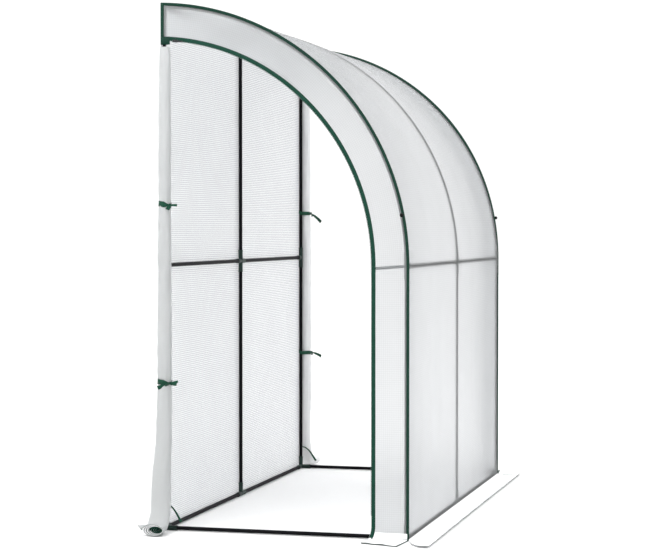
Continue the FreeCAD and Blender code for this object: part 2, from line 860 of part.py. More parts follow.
# Zip slider and pull. They are drawn at the spring line, with the arch's centre as
# their origin, and then turned back along the arch to where they are parked.
def parked(item, label):
    """Turns a piece round the arch's centre from the spring line to its rest."""
    item.Placement = FreeCAD.Placement(
        FreeCAD.Vector(0, 0, 0), FreeCAD.Rotation(FreeCAD.Vector(1, 0, 0), -45)
    )
    item.setExpression("Placement.Base.y", bound("arc_y"))
    item.setExpression("Placement.Base.z", bound("mid_rail_height"))
    item.setExpression("Placement.Rotation.Angle", bound("-slider_turn"))
    return finished(item, label)


PLATE_FACE = "end_face + binding_thickness / 2 + zip_teeth_thickness / 2 + slider_gap"
INNER_FACE = "end_inner - slider_gap"
OUTER_FACE = f"{PLATE_FACE} + slider_plate"
PIN_X = f"{OUTER_FACE} + pull_eye_radius + slider_gap"
HALF_EYE = "pull_eye_width / 2"

for end, side in ENDS:
    along = ("-slider_length / 2", "slider_length / 2")
    low_y = "-zip_radius - slider_width / 2"
    high_y = "-zip_radius + zip_teeth_width + slider_gap"
    outer_plate = block(
        outward(side, PLATE_FACE, OUTER_FACE),
        (low_y, f"{high_y} + slider_plate"),
        along,
    )
    inner_plate = block(
        outward(side, f"{INNER_FACE} - slider_plate", INNER_FACE),
        (low_y, f"{high_y} + slider_plate"),
        along,
    )
    bridge = block(
        outward(side, f"{INNER_FACE} - slider_plate", OUTER_FACE),
        (high_y, f"{high_y} + slider_plate"),
        along,
    )
    pin_at = {"x": ahead(side, PIN_X), "y": "-zip_radius", "z": "0"}
    half_pin = f"{HALF_EYE} + slider_gap + pull_lug_width"
    pin = rod("+y", "pull_pin_radius", f"-({half_pin})", f"2 * ({half_pin})", pin_at)
    lugs = []
    for sense in ("-", "+"):
        near_face = f"-zip_radius {sense} ({HALF_EYE} + slider_gap)"
        far_face = f"-zip_radius {sense} ({half_pin})"
        faces = (far_face, near_face) if sense == "-" else (near_face, far_face)
        lugs.append(
            block(
                outward(side, OUTER_FACE, f"{PIN_X} + pull_pin_radius"),
                faces,
                ("-pull_pin_radius - slider_gap", "pull_pin_radius + slider_gap"),
            )
        )
    parked(
        joined([outer_plate, inner_plate, bridge, pin] + lugs), f"zip_slider_{end}"
    )

    eye_start = f"-({HALF_EYE})"
    eye = rod("+y", "pull_eye_radius", eye_start, "pull_eye_width", pin_at)
    tab_x = outward(
        side, f"{PIN_X} - pull_thickness / 2", f"{PIN_X} + pull_thickness / 2"
    )
    neck = block(
        tab_x,
        (f"-zip_radius - {HALF_EYE}", f"-zip_radius + {HALF_EYE}"),
        ("pull_tab_length - pull_length - overrun", "0"),
    )
    tab = block(
        tab_x,
        ("-zip_radius - pull_width / 2", "-zip_radius + pull_width / 2"),
        ("-pull_length", "pull_tab_length - pull_length"),
    )
    eye_bore = rod(
        "+y",
        "pull_pin_radius + pull_pin_clearance",
        f"-({HALF_EYE}) - overrun",
        "pull_eye_width + 2 * overrun",
        pin_at,
    )
    parked(cut(joined([eye, neck, tab]), eye_bore), f"zip_pull_{end}")

doc.recompute()

faults = []
for item in doc.Objects:
    if "Invalid" in item.State or "Error" in item.State:
        faults.append(f"{item.Name} {item.Label}: {item.State}")
for item in parts:
    if item.Shape.isNull() or not item.Shape.isValid() or not item.Shape.Solids:
        faults.append(f"{item.Label}: no valid solid")
if faults:
    raise RuntimeError("; ".join(faults))

os.makedirs("parts", exist_ok=True)
for item in parts:
    item.Shape.exportStep(f"parts/{item.Label}.step")
print("sub-parts written:", len(parts))
print("hoop radius", round(size("hoop_radius"), 2), "arc centre y", round(size("arc_y"), 2))
print("zip slider parked at", round(size("slider_turn"), 3), "degrees")
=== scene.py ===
import json
import math

import bpy
import numpy as np
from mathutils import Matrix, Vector


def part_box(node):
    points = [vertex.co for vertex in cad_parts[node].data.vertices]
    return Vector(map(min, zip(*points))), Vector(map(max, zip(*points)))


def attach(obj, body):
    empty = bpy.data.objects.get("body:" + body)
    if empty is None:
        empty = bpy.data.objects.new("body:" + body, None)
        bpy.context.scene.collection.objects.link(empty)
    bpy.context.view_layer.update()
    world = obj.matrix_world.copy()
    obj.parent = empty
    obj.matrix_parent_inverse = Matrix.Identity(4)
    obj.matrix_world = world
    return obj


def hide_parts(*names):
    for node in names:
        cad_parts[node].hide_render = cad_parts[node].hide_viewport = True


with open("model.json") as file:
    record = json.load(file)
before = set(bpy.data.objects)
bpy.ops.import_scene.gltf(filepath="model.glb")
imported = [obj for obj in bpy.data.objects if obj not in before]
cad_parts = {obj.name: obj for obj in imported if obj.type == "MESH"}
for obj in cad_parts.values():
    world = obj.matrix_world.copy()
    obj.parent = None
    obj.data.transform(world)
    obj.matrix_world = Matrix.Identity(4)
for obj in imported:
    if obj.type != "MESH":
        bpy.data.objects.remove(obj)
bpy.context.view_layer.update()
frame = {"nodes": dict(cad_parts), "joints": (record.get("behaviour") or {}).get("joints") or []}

# Frame tubes. Round steel tube, 16 mm across, cut to length or bent to the roof's curve,
# with ends that push into the connectors. They are powder coated almost black.
BAYS = ("near", "far")
STATIONS = ("near", "middle", "far")
# A colour Mix node's sockets go by number, because their names are shared.
MIX_FACTOR, MIX_A, MIX_B, MIX_RESULT = 0, 6, 7, 2


def linear(colour):
    """An sRGB hex colour as linear RGBA: each channel goes through the sRGB curve."""
    channels = np.array([int(colour[at : at + 2], 16) for at in (1, 3, 5)]) / 255
    low = channels / 12.92
    high = ((channels + 0.055) / 1.055) ** 2.4
    return (*np.where(channels <= 0.04045, low, high).tolist(), 1.0)


def add(tree, kind, inputs=None, **settings):
    """Adds one shader node. Inputs are values, or sockets to link, by name or place."""
    made = tree.nodes.new("ShaderNode" + kind)
    for name, value in settings.items():
        setattr(made, name, value)
    for key, value in (inputs or {}).items():
        if isinstance(value, bpy.types.NodeSocket):
            tree.links.new(value, made.inputs[key])
        else:
            made.inputs[key].default_value = value
    return made


def empty_material(name):
    """A material with no nodes, and its tree."""
    material = bpy.data.materials.new(name)
    material.use_nodes = True
    material.node_tree.nodes.clear()
    return material, material.node_tree


def wear(piece, material):
    """Puts one material on every face of a piece."""
    piece.data.materials.clear()
    piece.data.materials.append(material)


def clouded(name, tints, cloud, looks, grain=None):
    """A coated, moulded or drawn surface whose tint clouds between two shades.

    Cloud is the scale per metre and the detail of a noise. Grain is the same for a fine
    skin, with its bump's strength and height. Looks are the surface's other settings.
    """
    material, tree = empty_material(name)
    place = add(tree, "TexCoord").outputs["Object"]
    scale, detail = cloud
    clouds = add(tree, "TexNoise", {"Vector": place, "Scale": scale, "Detail": detail})
    dark, light = (linear(tint) for tint in tints)
    shade = add(
        tree,
        "Mix",
        {MIX_FACTOR: clouds.outputs["Fac"], MIX_A: dark, MIX_B: light},
        data_type="RGBA",
    )
    looks = {"Base Color": shade.outputs[MIX_RESULT], **looks}
    if grain:
        scale, detail, strength, height = grain
        skin = add(tree, "TexNoise", {"Vector": place, "Scale": scale, "Detail": detail})
        bump = add(
            tree,
            "Bump",
            {"Height": skin.outputs["Fac"], "Strength": strength, "Distance": height},
        )
        looks["Normal"] = bump.outputs["Normal"]
    made = add(tree, "BsdfPrincipled", looks)
    add(tree, "OutputMaterial", {"Surface": made.outputs["BSDF"]})
    return material


# Powder coat: near-black and satin, with an orange-peel skin, and a little dust on it in
# clouds of some 70 mm. The real skin repeats every 0.8 mm. It is drawn at 3 mm so that
# it shows.
powder_coat = clouded(
    "powder_coated_steel",
    ("#060608", "#101114"),
    cloud=(14.0, 3.0),
    looks={"Roughness": 0.5, "Specular IOR Level": 0.05},
    grain=(330.0, 2.0, 0.3, 0.0002),
)
for station in STATIONS:
    for name in ("wall_post_lower", "wall_post_upper", "front_post", "hoop"):
        wear(frame["nodes"][f"{name}_{station}"], powder_coat)
RAILS = (
    "wall_ground_rail",
    "front_ground_rail",
    "wall_middle_rail",
    "front_middle_rail",
    "ridge_rail",
    "end_ground_rail",
)
for bay in BAYS:
    for name in RAILS:
        wear(frame["nodes"][f"{name}_{bay}"], powder_coat)


# Connectors. Two, three or four sockets moulded in one, with a collar round each mouth,
# in a very dark green polypropylene that the tubes push into by hand.
CONNECTORS = ("wall_foot", "front_foot", "wall_middle", "front_middle", "ridge")
# Moulded polypropylene: low gloss, its tint changing every 30 mm or so as the melt
# flowed. Its spark-eroded grain of 0.3 mm is drawn at 1 mm so that it shows.
polypropylene = clouded(
    "moulded_polypropylene",
    ("#0c1f1a", "#173029"),
    cloud=(30.0, 2.0),
    looks={"Roughness": 0.48, "IOR": 1.49, "Specular IOR Level": 0.3},
    grain=(1000.0, 1.0, 0.3, 0.0001),
)
for station in STATIONS:
    for name in CONNECTORS:
        wear(frame["nodes"][f"{name}_connector_{station}"], polypropylene)


# Roof and front. One sheet of white polyethylene, 0.25 mm thick, with a square grid of
# reinforcing threads. It goes up the front, over the hoops and down to the wall.
END_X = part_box("end_band_far")[1].x
FRONT_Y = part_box("roof_and_front_panel")[0].y
arc_joint = next(joint for joint in frame["joints"] if joint["name"] == "zip_run_far")
ARC_Y, SPRING_Z = arc_joint["pos_m"][1:]
ARC_RADIUS = ARC_Y - FRONT_Y
HOOP_X = sum(corner.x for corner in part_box("hoop_far")) / 2
# The sheet's depth below the panel's outer face, on a tube and on a connector's collar.
TUBE_TOUCH = 0.0032
COLLAR_TOUCH = 0.0011
JOINT_REACH = 0.07
EDGE_RISE = 0.010
ROOF_SAG = 0.005
WRINKLE = 0.0024
ROOF_WRINKLE_PITCH = 0.55
FLOOR_CLEAR = 0.0012
# Threads stand 8.5 mm apart, as the photograph shows them. Real ones are 0.5 mm across,
# and these are drawn at 1 mm so that they show.
GRID_CELL = 0.0085
GRID_THREAD = 0.0010
THREAD_TINT = ("#c8c9ca", "#d0d1d2")


def over_arch(share, inset):
    """Y and Z of the arch's line at an inset from its outside.

    Share 0 to 1 climbs the straight front in proportion, and 1 to 2 goes round the arc
    to the wall, where Y and Z follow the cosine and sine about the arc's centre.
    """
    radius = ARC_RADIUS - inset
    angle = np.clip(share - 1, 0, 1) * np.arccos(ARC_Y / radius)
    y = ARC_Y - radius * np.cos(angle)
    z = np.clip(share, 0, 1) * SPRING_Z + radius * np.sin(angle)
    return y, z


ARC_LENGTH = ARC_RADIUS * math.acos(ARC_Y / ARC_RADIUS)
ARCH_LENGTH = SPRING_Z + ARC_LENGTH


def share_at(length):
    """The share along the arch at a length of cloth from the floor."""
    return np.where(
        length < SPRING_Z, length / SPRING_Z, 1 + (length - SPRING_Z) / ARC_LENGTH
    )


RIPPLE_WAVES = 7


def ripple(across, along, seed, pitch):
    """Soft irregular waves: a sum of seven sines in seeded directions.

    Pitch is near their mean wavelength. The sum is divided by 1.6 times the root of
    their number, so that it seldom passes 1.
    """
    pick = np.random.default_rng(seed)
    total = 0
    for _ in range(RIPPLE_WAVES):
        turn = pick.uniform(0, math.pi)
        wave = 2 * math.pi / (pitch * pick.uniform(0.6, 1.7))
        phase = pick.uniform(0, 2 * math.pi)
        total = total + np.sin(
            wave * (across * math.cos(turn) + along * math.sin(turn)) + phase
        )
    return total / RIPPLE_WAVES**0.5 / 1.6


def new_piece(name, vertices, faces, material, corner_uv=None):
    """A smooth mesh object from arrays, which rides on the greenhouse."""
    mesh = bpy.data.meshes.new(name)
    mesh.from_pydata(vertices.reshape(-1, 3).tolist(), [], faces)
    mesh.polygons.foreach_set("use_smooth", [True] * len(mesh.polygons))
    if corner_uv is not None:
        layer = mesh.uv_layers.new(name="cloth")
        layer.data.foreach_set("uv", corner_uv.astype(np.float32).ravel())
    mesh.update()
    made = bpy.data.objects.new(name, mesh)
    bpy.context.scene.collection.objects.link(made)
    wear(made, material)
    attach(made, "greenhouse")
    return made


def surface(name, points, uv, material, flip=False, around=False):
    """A mesh on a grid of points, with a quad to each cell.

    If around is set, the rows close into a tube whose two ends are capped, and uv has
    one row more than the points.
    """
    rows, columns = points.shape[:2]
    row = np.arange(rows if around else rows - 1)[:, None]
    column = np.arange(columns - 1)[None]
    here = (row * columns + column).ravel()
    beyond = ((row + 1) % rows * columns + column).ravel()
    unrolled = ((row + 1) * columns + column).ravel()
    quads = np.stack([here, beyond, beyond + 1, here + 1], axis=1)
    corners = np.stack([here, unrolled, unrolled + 1, here + 1], axis=1)
    ends = []
    if around:
        first = np.arange(rows) * columns
        ends = [first[::-1], first + columns - 1]
    if flip:
        quads = quads[:, ::-1]
        corners = corners[:, ::-1]
        ends = [end[::-1] for end in ends]
    faces = quads.tolist() + [end.tolist() for end in ends]
    corner_uv = uv.reshape(-1, 2)[np.concatenate([corners.ravel(), *ends])]
    return new_piece(name, points, faces, material, corner_uv)


def thread_mask(tree, place):
    """1 on the sheet's reinforcing threads and 0 on the film between them."""
    split = add(tree, "SeparateXYZ", {"Vector": place})
    lines = []
    for axis in ("X", "Y"):
        fold = add(
            tree,
            "Math",
            {0: split.outputs[axis], 1: GRID_CELL / 2},
            operation="PINGPONG",
        )
        line = add(
            tree,
            "MapRange",
            {
                "Value": fold.outputs[0],
                "From Min": GRID_THREAD * 0.25,
                "From Max": GRID_THREAD * 0.75,
                "To Min": 1.0,
                "To Max": 0.0,
            },
            interpolation_type="SMOOTHSTEP",
        )
        lines.append(line.outputs[0])
    return add(tree, "Math", {0: lines[0], 1: lines[1]}, operation="MAXIMUM").outputs[0]


def polyethylene(name, film_tint, thread_tint, clear):
    """White polyethylene sheet: hazy film between opaque white threads.

    The film spreads the light that it passes. What lies on it shows clearly, and what
    lies a metre behind it is lost. Clear is the share of light that it passes on and
    doesn't scatter back. The threads scatter light to both sides and stand a little
    proud. The film puckers every 17 mm or so, and its tint clouds over some 200 mm.
    """
    material, tree = empty_material(name)
    place = add(tree, "UVMap", uv_map="cloth").outputs["UV"]
    mask = thread_mask(tree, place)
    cloud = add(tree, "TexNoise", {"Vector": place, "Scale": 5.0, "Detail": 3.0})
    pucker = add(tree, "TexNoise", {"Vector": place, "Scale": 60.0, "Detail": 2.0})
    height = add(
        tree,
        "Math",
        {0: mask, 1: 0.7, 2: pucker.outputs["Fac"]},
        operation="MULTIPLY_ADD",
    )
    bump = add(
        tree,
        "Bump",
        {"Height": height.outputs[0], "Strength": 0.35, "Distance": 0.00015},
    )
    tints = [
        add(
            tree,
            "Mix",
            {MIX_FACTOR: cloud.outputs["Fac"], MIX_A: linear(dark), MIX_B: linear(light)},
            data_type="RGBA",
        ).outputs[MIX_RESULT]
        for dark, light in (film_tint, thread_tint)
    ]
    film = add(
        tree,
        "BsdfPrincipled",
        {
            "Base Color": tints[0],
            "Roughness": 0.66,
            "IOR": 1.15,
            "Transmission Weight": clear,
            "Normal": bump.outputs["Normal"],
        },
    )
    front = add(
        tree,
        "BsdfPrincipled",
        {"Base Color": tints[1], "Roughness": 0.45, "Normal": bump.outputs["Normal"]},
    )
    through = add(tree, "BsdfTranslucent", {"Color": tints[1]})
    threads = add(tree, "MixShader", {0: 0.6, 1: front.outputs[0], 2: through.outputs[0]})
    sheet = add(
        tree, "MixShader", {0: mask, 1: film.outputs[0], 2: threads.outputs[0]}
    )
    add(tree, "OutputMaterial", {"Surface": sheet.outputs[0]})
    return material


roof_film = polyethylene(
    "reinforced_polyethylene", ("#b7b9bb", "#c1c3c5"), THREAD_TINT, clear=0.88
)


def near_joint(x, length, heights):
    """1 over a connector's arms and 0 away from them.

    It is 1 over 1 plus the sixth power of the distance in reaches, summed over the
    connectors of the three hoops at the given heights.
    """
    total = 0
    for joint_x in (-HOOP_X, 0, HOOP_X):
        for height in heights:
            reach = np.hypot(x - joint_x, length - height) / JOINT_REACH
            total = total + 1 / (1 + reach**6)
    return np.clip(total, 0, 1)


def to_seam(x):
    """Nearly 0 at a panel's sewn edges and 1 past the 10 mm in which it leaves them."""
    return np.clip((END_X - np.abs(x)) / EDGE_RISE, 0.08, 1)


ROOF_ROWS = 180
SPAN_COLUMNS = 241
SEAM_GAP = 0.0006
# The columns crowd together in the last 18 mm, where the sheet leaves the seam.
EDGE_COLUMNS = 12
inner_x = END_X - 0.018
span = np.concatenate(
    [
        np.linspace(-END_X, -inner_x, EDGE_COLUMNS, endpoint=False),
        np.linspace(-inner_x, inner_x, SPAN_COLUMNS - 2 * EDGE_COLUMNS),
        np.linspace(inner_x, END_X, EDGE_COLUMNS + 1)[1:],
    ]
)[None]

length = np.linspace(0, ARCH_LENGTH, ROOF_ROWS)[:, None] + 0 * span
x = span + 0 * length
between = np.sin(math.pi * np.clip(np.abs(x) / HOOP_X, 0, 1)) ** 2
panels = np.where(length < SPRING_Z, length / SPRING_Z, (length - SPRING_Z) / ARC_LENGTH)
loose = between * np.sin(math.pi * np.clip(panels, 0, 1)) ** 0.7
# The sheet touches the tubes, lifts over the connectors, and sags by some 5 mm between,
# more down its length than across it.
wrinkles = WRINKLE * ripple(2.2 * x, 0.8 * length, 11, ROOF_WRINKLE_PITCH)
inset = TUBE_TOUCH + loose * (ROOF_SAG + wrinkles)
lift = near_joint(x, length, (0, SPRING_Z, ARCH_LENGTH))
inset = (inset + (COLLAR_TOUCH - TUBE_TOUCH) * lift) * to_seam(x)
y, z = over_arch(share_at(length), inset)
roof = surface(
    "roof_and_front_cover",
    np.stack([x, np.minimum(y, -SEAM_GAP), np.maximum(z, FLOOR_CLEAR)], axis=-1),
    np.stack([x, length], axis=-1),
    roof_film,
    flip=True,
)
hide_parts("roof_and_front_panel")


# Wall panel. The back of the cover, one flat sheet of the same reinforced polyethylene
# that hangs from the seam at the ridge behind the wall posts and rails. Its copy of the
# material has lighter tints and lets less through than the roof's: painted light and
# shade, which sets how bright the wall looks in this light.
WALL_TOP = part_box("wall_panel")[1].z
RIDGE_Z = sum(corner.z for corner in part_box("ridge_rail_far")) / 2
WALL_ROWS = 190
WALL_TOP_CLEAR = 0.0005
WALL_BELLY = 0.004
WALL_WRINKLE_PITCH = 0.50
SEAM_REACH = 0.03
painted_light_wall_film = polyethylene(
    "wall_polyethylene_with_painted_light",
    ("#c2c4c6", "#caccce"),
    THREAD_TINT,
    clear=0.60,
)

z = np.linspace(FLOOR_CLEAR, WALL_TOP - WALL_TOP_CLEAR, WALL_ROWS)[:, None] + 0 * span
x = span + 0 * z
between = np.sin(math.pi * np.clip(np.abs(x) / HOOP_X, 0, 1)) ** 2
loose = between * np.abs(np.sin(math.pi * z / SPRING_Z))
lift = near_joint(x, z, (0, SPRING_Z, RIDGE_Z))
y = (-TUBE_TOUCH + (TUBE_TOUCH - COLLAR_TOUCH) * lift) * to_seam(x)
y = y + loose * (WALL_BELLY + WRINKLE * ripple(1.6 * x, z, 23, WALL_WRINKLE_PITCH))
seam = np.clip(1 - (WALL_TOP - z) / SEAM_REACH, 0, 1)
y = y * (1 - seam) - SEAM_GAP * seam
wall = surface(
    "wall_cover",
    np.stack([x, y, z], axis=-1),
    np.stack([x, z], axis=-1),
    painted_light_wall_film,
)
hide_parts("wall_panel")


# End bands. A strip of the same sheet on each end, 150 mm wide and cut to the arch. It is
# sewn to the roof's edge outside and to the zip inside, and flares out near the floor.
ENDS = (("near", -1), ("far", 1))
BAND_WIDTH = 0.150
BAND_X = END_X - 0.0005
# The bands' copy of the sheet has lighter tints and lets less through than the roof's: painted
# light, which brightens the band's top where the layers behind it shade it.
painted_light_band_film = polyethylene(
    "band_polyethylene_with_painted_light",
    ("#c1c3c5", "#c9cbcc"),
    THREAD_TINT,
    clear=0.75,
)
# Over the tube, some 15 mm in from the edge, the band is drawn in by 2.2 mm.
TUBE_PRESS_INSET = 0.015
TUBE_PRESS_WIDTH = 0.008
TUBE_PRESS_DEPTH = 0.0022
# It isn't pressed at the floor, and fully 100 mm above it.
TUBE_PRESS_START = 0.1
BAND_WAVE = 0.0018
BAND_WAVE_PITCH = 0.35
FOOT_CREASE = 0.003
FOOT_CREASE_HEIGHT = 0.030
FOOT_CREASE_PITCH = 0.035
FOOT_LIFT = 0.0007
FOOT_CLEAR = 0.0004
# The bend onto the floor, the skirt's reach and its shift along the wall, each at the
# outer corner and at the door's edge.
CORNER_BEND = 0.008
DOOR_BEND = 0.055
SKIRT_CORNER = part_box("band_skirt_far")[1].x - END_X
SKIRT_DOOR = SKIRT_CORNER - 0.044
DOOR_SHIFT = 0.018
CORNER_SHIFT = 0.015


def ease(value):
    """A smooth step from 0 to 1."""
    value = np.clip(value, 0, 1)
    return value * value * (3 - 2 * value)


def on_end(side, length, inset, proud=0.0):
    """Points on an end band or its skirt, at a length of cloth above the floor.

    The band hangs straight, turns outwards on an arc whose radius grows from the corner
    to the door, and lies on the floor where the length is below zero. On the arc the
    turn is the cloth's length over the radius, and X and Z are its cosine and sine.
    Proud lifts a point off the cloth.
    """
    across = np.clip(inset / BAND_WIDTH, 0, 1)
    bend = CORNER_BEND + (DOOR_BEND - CORNER_BEND) * ease(across)
    below = np.maximum(bend - length, 0)
    turn = np.minimum(below / bend, math.pi / 2)
    out = bend * (1 - np.cos(turn)) + np.maximum(below - bend * math.pi / 2, 0)
    y, z = over_arch(share_at(np.maximum(length, 0)), inset)
    reach = SKIRT_CORNER + (SKIRT_DOOR - SKIRT_CORNER) * across
    shift = CORNER_SHIFT + (DOOR_SHIFT - CORNER_SHIFT) * across
    y = np.minimum(y + shift * out / reach, -SEAM_GAP)
    z = np.where(below > 0, bend * (1 - np.sin(turn)), z)
    tube = np.exp(-(((inset - TUBE_PRESS_INSET) / TUBE_PRESS_WIDTH) ** 2))
    joints = near_joint(HOOP_X, length, (0, SPRING_Z, ARCH_LENGTH))
    dip = TUBE_PRESS_DEPTH * tube * (1 - joints) * ease(length / TUBE_PRESS_START)
    free = np.sin(math.pi * across) * (1 - tube)
    wave = BAND_WAVE * free * ripple(3 * inset, length, 31 + side, BAND_WAVE_PITCH)
    low = np.exp(-((length / FOOT_CREASE_HEIGHT) ** 2))
    crease = FOOT_CREASE * low * np.sin(math.pi * across)
    wave = wave + crease * ripple(inset, 0.4 * length, 41 + side, FOOT_CREASE_PITCH)
    off = proud + wave - dip
    x = BAND_X + out + off * np.cos(turn)
    z = z + off * np.sin(turn) + FOOT_LIFT * np.sin(turn)
    z = np.maximum(z, FOOT_CLEAR + proud * (turn > 1))
    return np.stack([side * x, y, z], axis=-1)


BAND_ROWS = 260
BAND_COLUMNS = 44
# Where the cut sheet starts and ends, just inside the two seams.
BAND_INSETS = (0.0004, BAND_WIDTH - 0.001)

for end, side in ENDS:
    length = np.linspace(0, ARCH_LENGTH, BAND_ROWS)[:, None]
    inset = np.linspace(*BAND_INSETS, BAND_COLUMNS)[None] + 0 * length
    length = length + 0 * inset
    band = surface(
        f"end_band_cover_{end}",
        on_end(side, length, inset),
        np.stack([inset, length], axis=-1),
        painted_light_band_film,
        flip=side > 0,
    )
    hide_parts(f"end_band_{end}")


# Bindings. Woven tape, dark green, folded over the seam between roof and band and sewn
# through. A piece of it covers the wall corner and the upper end of the zip.
def unit(vectors):
    """Each row of vectors at length 1."""
    return vectors / np.linalg.norm(vectors, axis=1, keepdims=True)


def run_along(path):
    """The distance along a path to each of its points."""
    step = np.linalg.norm(np.diff(path, axis=0), axis=1)
    return np.concatenate([[0], np.cumsum(step)])


def tape(name, path, across, width, thickness, material):
    """A tape along a path: a flat loop of eight points is carried along it.

    The loop's two sides are drawn in by half the thickness, so the edges are soft. Up
    is the path's direction crossed with the direction across the tape. Width is one
    value, or one for each point of the path.
    """
    lip = thickness / 2
    half = np.broadcast_to(width, len(path))[:, None] / 2
    shoulder = half - lip
    reach = np.stack(
        [-half, -shoulder, 0 * half, shoulder, half, shoulder, 0 * half, -shoulder]
    )
    rise = lip * np.array([0, -1, -1, -1, 0, 1, 1, 1])
    across = unit(across)
    up = np.cross(unit(np.gradient(path, axis=0)), across)
    points = path + reach * across + rise[:, None, None] * up
    run = run_along(path)
    around = np.linspace(0, 2 * np.max(width), len(rise) + 1)[:, None]
    uv = np.stack([run[None] + 0 * around, around + 0 * run[None]], axis=-1)
    return surface(name, points, uv, material, around=True)


def woven_tape(name, dark, light, rib, roughness, sheen):
    """Woven tape: cords across its width, over and under the warp, with a soft nap.

    Rib is the distance from cord to cord. The weave is the product of a sine along the
    tape and one across it. The colour goes dark between cords as painted shade, and
    fades at random in patches of some 25 mm.
    """
    material, tree = empty_material(name)
    place = add(tree, "UVMap", uv_map="cloth").outputs["UV"]
    split = add(tree, "SeparateXYZ", {"Vector": place})
    weave = []
    for axis in ("X", "Y"):
        turns = add(
            tree,
            "Math",
            {0: split.outputs[axis], 1: 2 * math.pi / rib},
            operation="MULTIPLY",
        )
        weave.append(add(tree, "Math", {0: turns.outputs[0]}, operation="SINE"))
    cell = add(
        tree,
        "Math",
        {0: weave[0].outputs[0], 1: weave[1].outputs[0]},
        operation="MULTIPLY",
    )
    level = add(tree, "MapRange", {"Value": cell.outputs[0], "From Min": -1.0})
    fade = add(tree, "TexNoise", {"Vector": place, "Scale": 40.0, "Detail": 3.0})
    # Painted shade: the weave's hollows between cords are darkened, and patches fade at random.
    painted_shade_and_fade = add(
        tree,
        "Math",
        {0: level.outputs[0], 1: 0.5, 2: fade.outputs["Fac"]},
        operation="MULTIPLY_ADD",
    )
    shade = add(
        tree,
        "Mix",
        {MIX_FACTOR: painted_shade_and_fade.outputs[0], MIX_A: linear(dark), MIX_B: linear(light)},
        data_type="RGBA",
    )
    bump = add(
        tree,
        "Bump",
        {"Height": level.outputs[0], "Strength": 0.5, "Distance": rib / 6},
    )
    cloth = add(
        tree,
        "BsdfPrincipled",
        {
            "Base Color": shade.outputs[MIX_RESULT],
            "Roughness": roughness,
            "Specular IOR Level": 0.15,
            "Sheen Weight": sheen,
            "Sheen Roughness": 0.5,
            "Normal": bump.outputs["Normal"],
        },
    )
    add(tree, "OutputMaterial", {"Surface": cloth.outputs["BSDF"]})
    return material


# The real tape has a cord every 0.7 mm. It is drawn at 1.6 mm so that it shows.
binding_tape = woven_tape(
    "woven_polypropylene_tape", "#031b13", "#0d3529", 0.0016, 0.62, 0.02
)
# Spun polyester: matt, its two plies just lighter and darker about every 1 mm.
sewing_thread = clouded(
    "spun_polyester_thread",
    ("#0c1a15", "#3c6252"),
    cloud=(900.0, 1.0),
    looks={"Roughness": 0.75},
)
CAPSULE_SIDES = 6
# Each ring's place along the rod and its size, as shares of the half length and width.
CAPSULE_RINGS = ((-1, 0.45), (-0.7, 1), (0.7, 1), (1, 0.45))


def capsules(name, centres, along, across, up, size, material):
    """Many small rods with rounded ends: six-sided rings carried along each one.

    Size is half the length, half the width and half the height. Along, across and up
    are unit vectors, one for each rod.
    """
    angle = np.arange(CAPSULE_SIDES) * 2 * math.pi / CAPSULE_SIDES
    rings = np.array(CAPSULE_RINGS)
    local = np.stack(
        [
            rings[:, :1] * size[0] + 0 * angle,
            rings[:, 1:] * size[1] * np.cos(angle),
            rings[:, 1:] * size[2] * np.sin(angle),
        ],
        axis=-1,
    ).reshape(-1, 3)
    axes = np.stack([along, across, up], axis=1)
    vertices = centres[:, None] + np.einsum("vk,nkc->nvc", local, axes)
    ring = np.arange(len(rings) - 1)[:, None] * CAPSULE_SIDES
    side = np.arange(CAPSULE_SIDES)[None]
    here = (ring + side).ravel()
    beside = (ring + (side + 1) % CAPSULE_SIDES).ravel()
    quads = np.stack([here, beside, beside + CAPSULE_SIDES, here + CAPSULE_SIDES], axis=1)
    first = np.arange(CAPSULE_SIDES)
    caps = np.stack([first[::-1], first + len(local) - CAPSULE_SIDES])
    start = np.arange(len(centres))[:, None, None] * len(local)
    faces = (quads + start).reshape(-1, 4).tolist()
    faces += (caps + start).reshape(-1, CAPSULE_SIDES).tolist()
    return new_piece(name, vertices, faces, material)


STITCH_PITCH = 0.0048
STITCH_SIZE = (0.0017, 0.0004, 0.0003)


def stitch_line(name, path, up):
    """Stitches along a path, evenly spaced, lying on the cloth whose normal is up."""
    run = run_along(path)
    at = np.arange(STITCH_PITCH, run[-1] - STITCH_PITCH, STITCH_PITCH)
    centres, normal = (
        np.stack([np.interp(at, run, rows[:, axis]) for axis in range(3)], axis=-1)
        for rows in (path, up)
    )
    along = unit(np.gradient(centres, axis=0))
    across = unit(np.cross(normal, along))
    normal = np.cross(along, across)
    made = capsules(name, centres, along, across, normal, STITCH_SIZE, sewing_thread)
    return made


# The binding's width on the end's face and on the roof, its two layers' thickness, and
# its gap to the cloth.
BINDING_FACE = 0.0105
BINDING_ROOF = 0.0090
BINDING_THICK = 0.0016
BINDING_OFF = 0.0002
BINDING_START = 0.009
BINDING_ROWS = 330
FOLD_DEPTH = 0.004
# How far the seam's fold stands off the roof along the arch. The far one was sewn wider.
SEAM_STAND = {"near": 0.0, "far": 0.0065}
STITCH_PUCKER = 0.0001
TAPE_PUCKER = 0.0004
TAPE_PUCKER_PITCH = 0.06
FACE_STITCH_INSET = 0.0085
ROOF_STITCH_REACH = 0.0072
ROOF_STITCH_INSET = 0.0007
CORNER_WIDTH = 0.014
CORNER_LIFT = 0.0009
PATCH_WIDTH = 0.040
PATCH_HEIGHT = 0.032
PATCH_LIFT = 0.0012
PATCH_BULGE = 0.001
# The patch's top is level with the wall end of the zip's tape, this far onto the band.
PATCH_ON_BAND = 0.014
patch_radius = ARC_RADIUS - BAND_WIDTH + PATCH_ON_BAND
PATCH_TOP = SPRING_Z + math.sqrt(patch_radius**2 - ARC_Y**2)


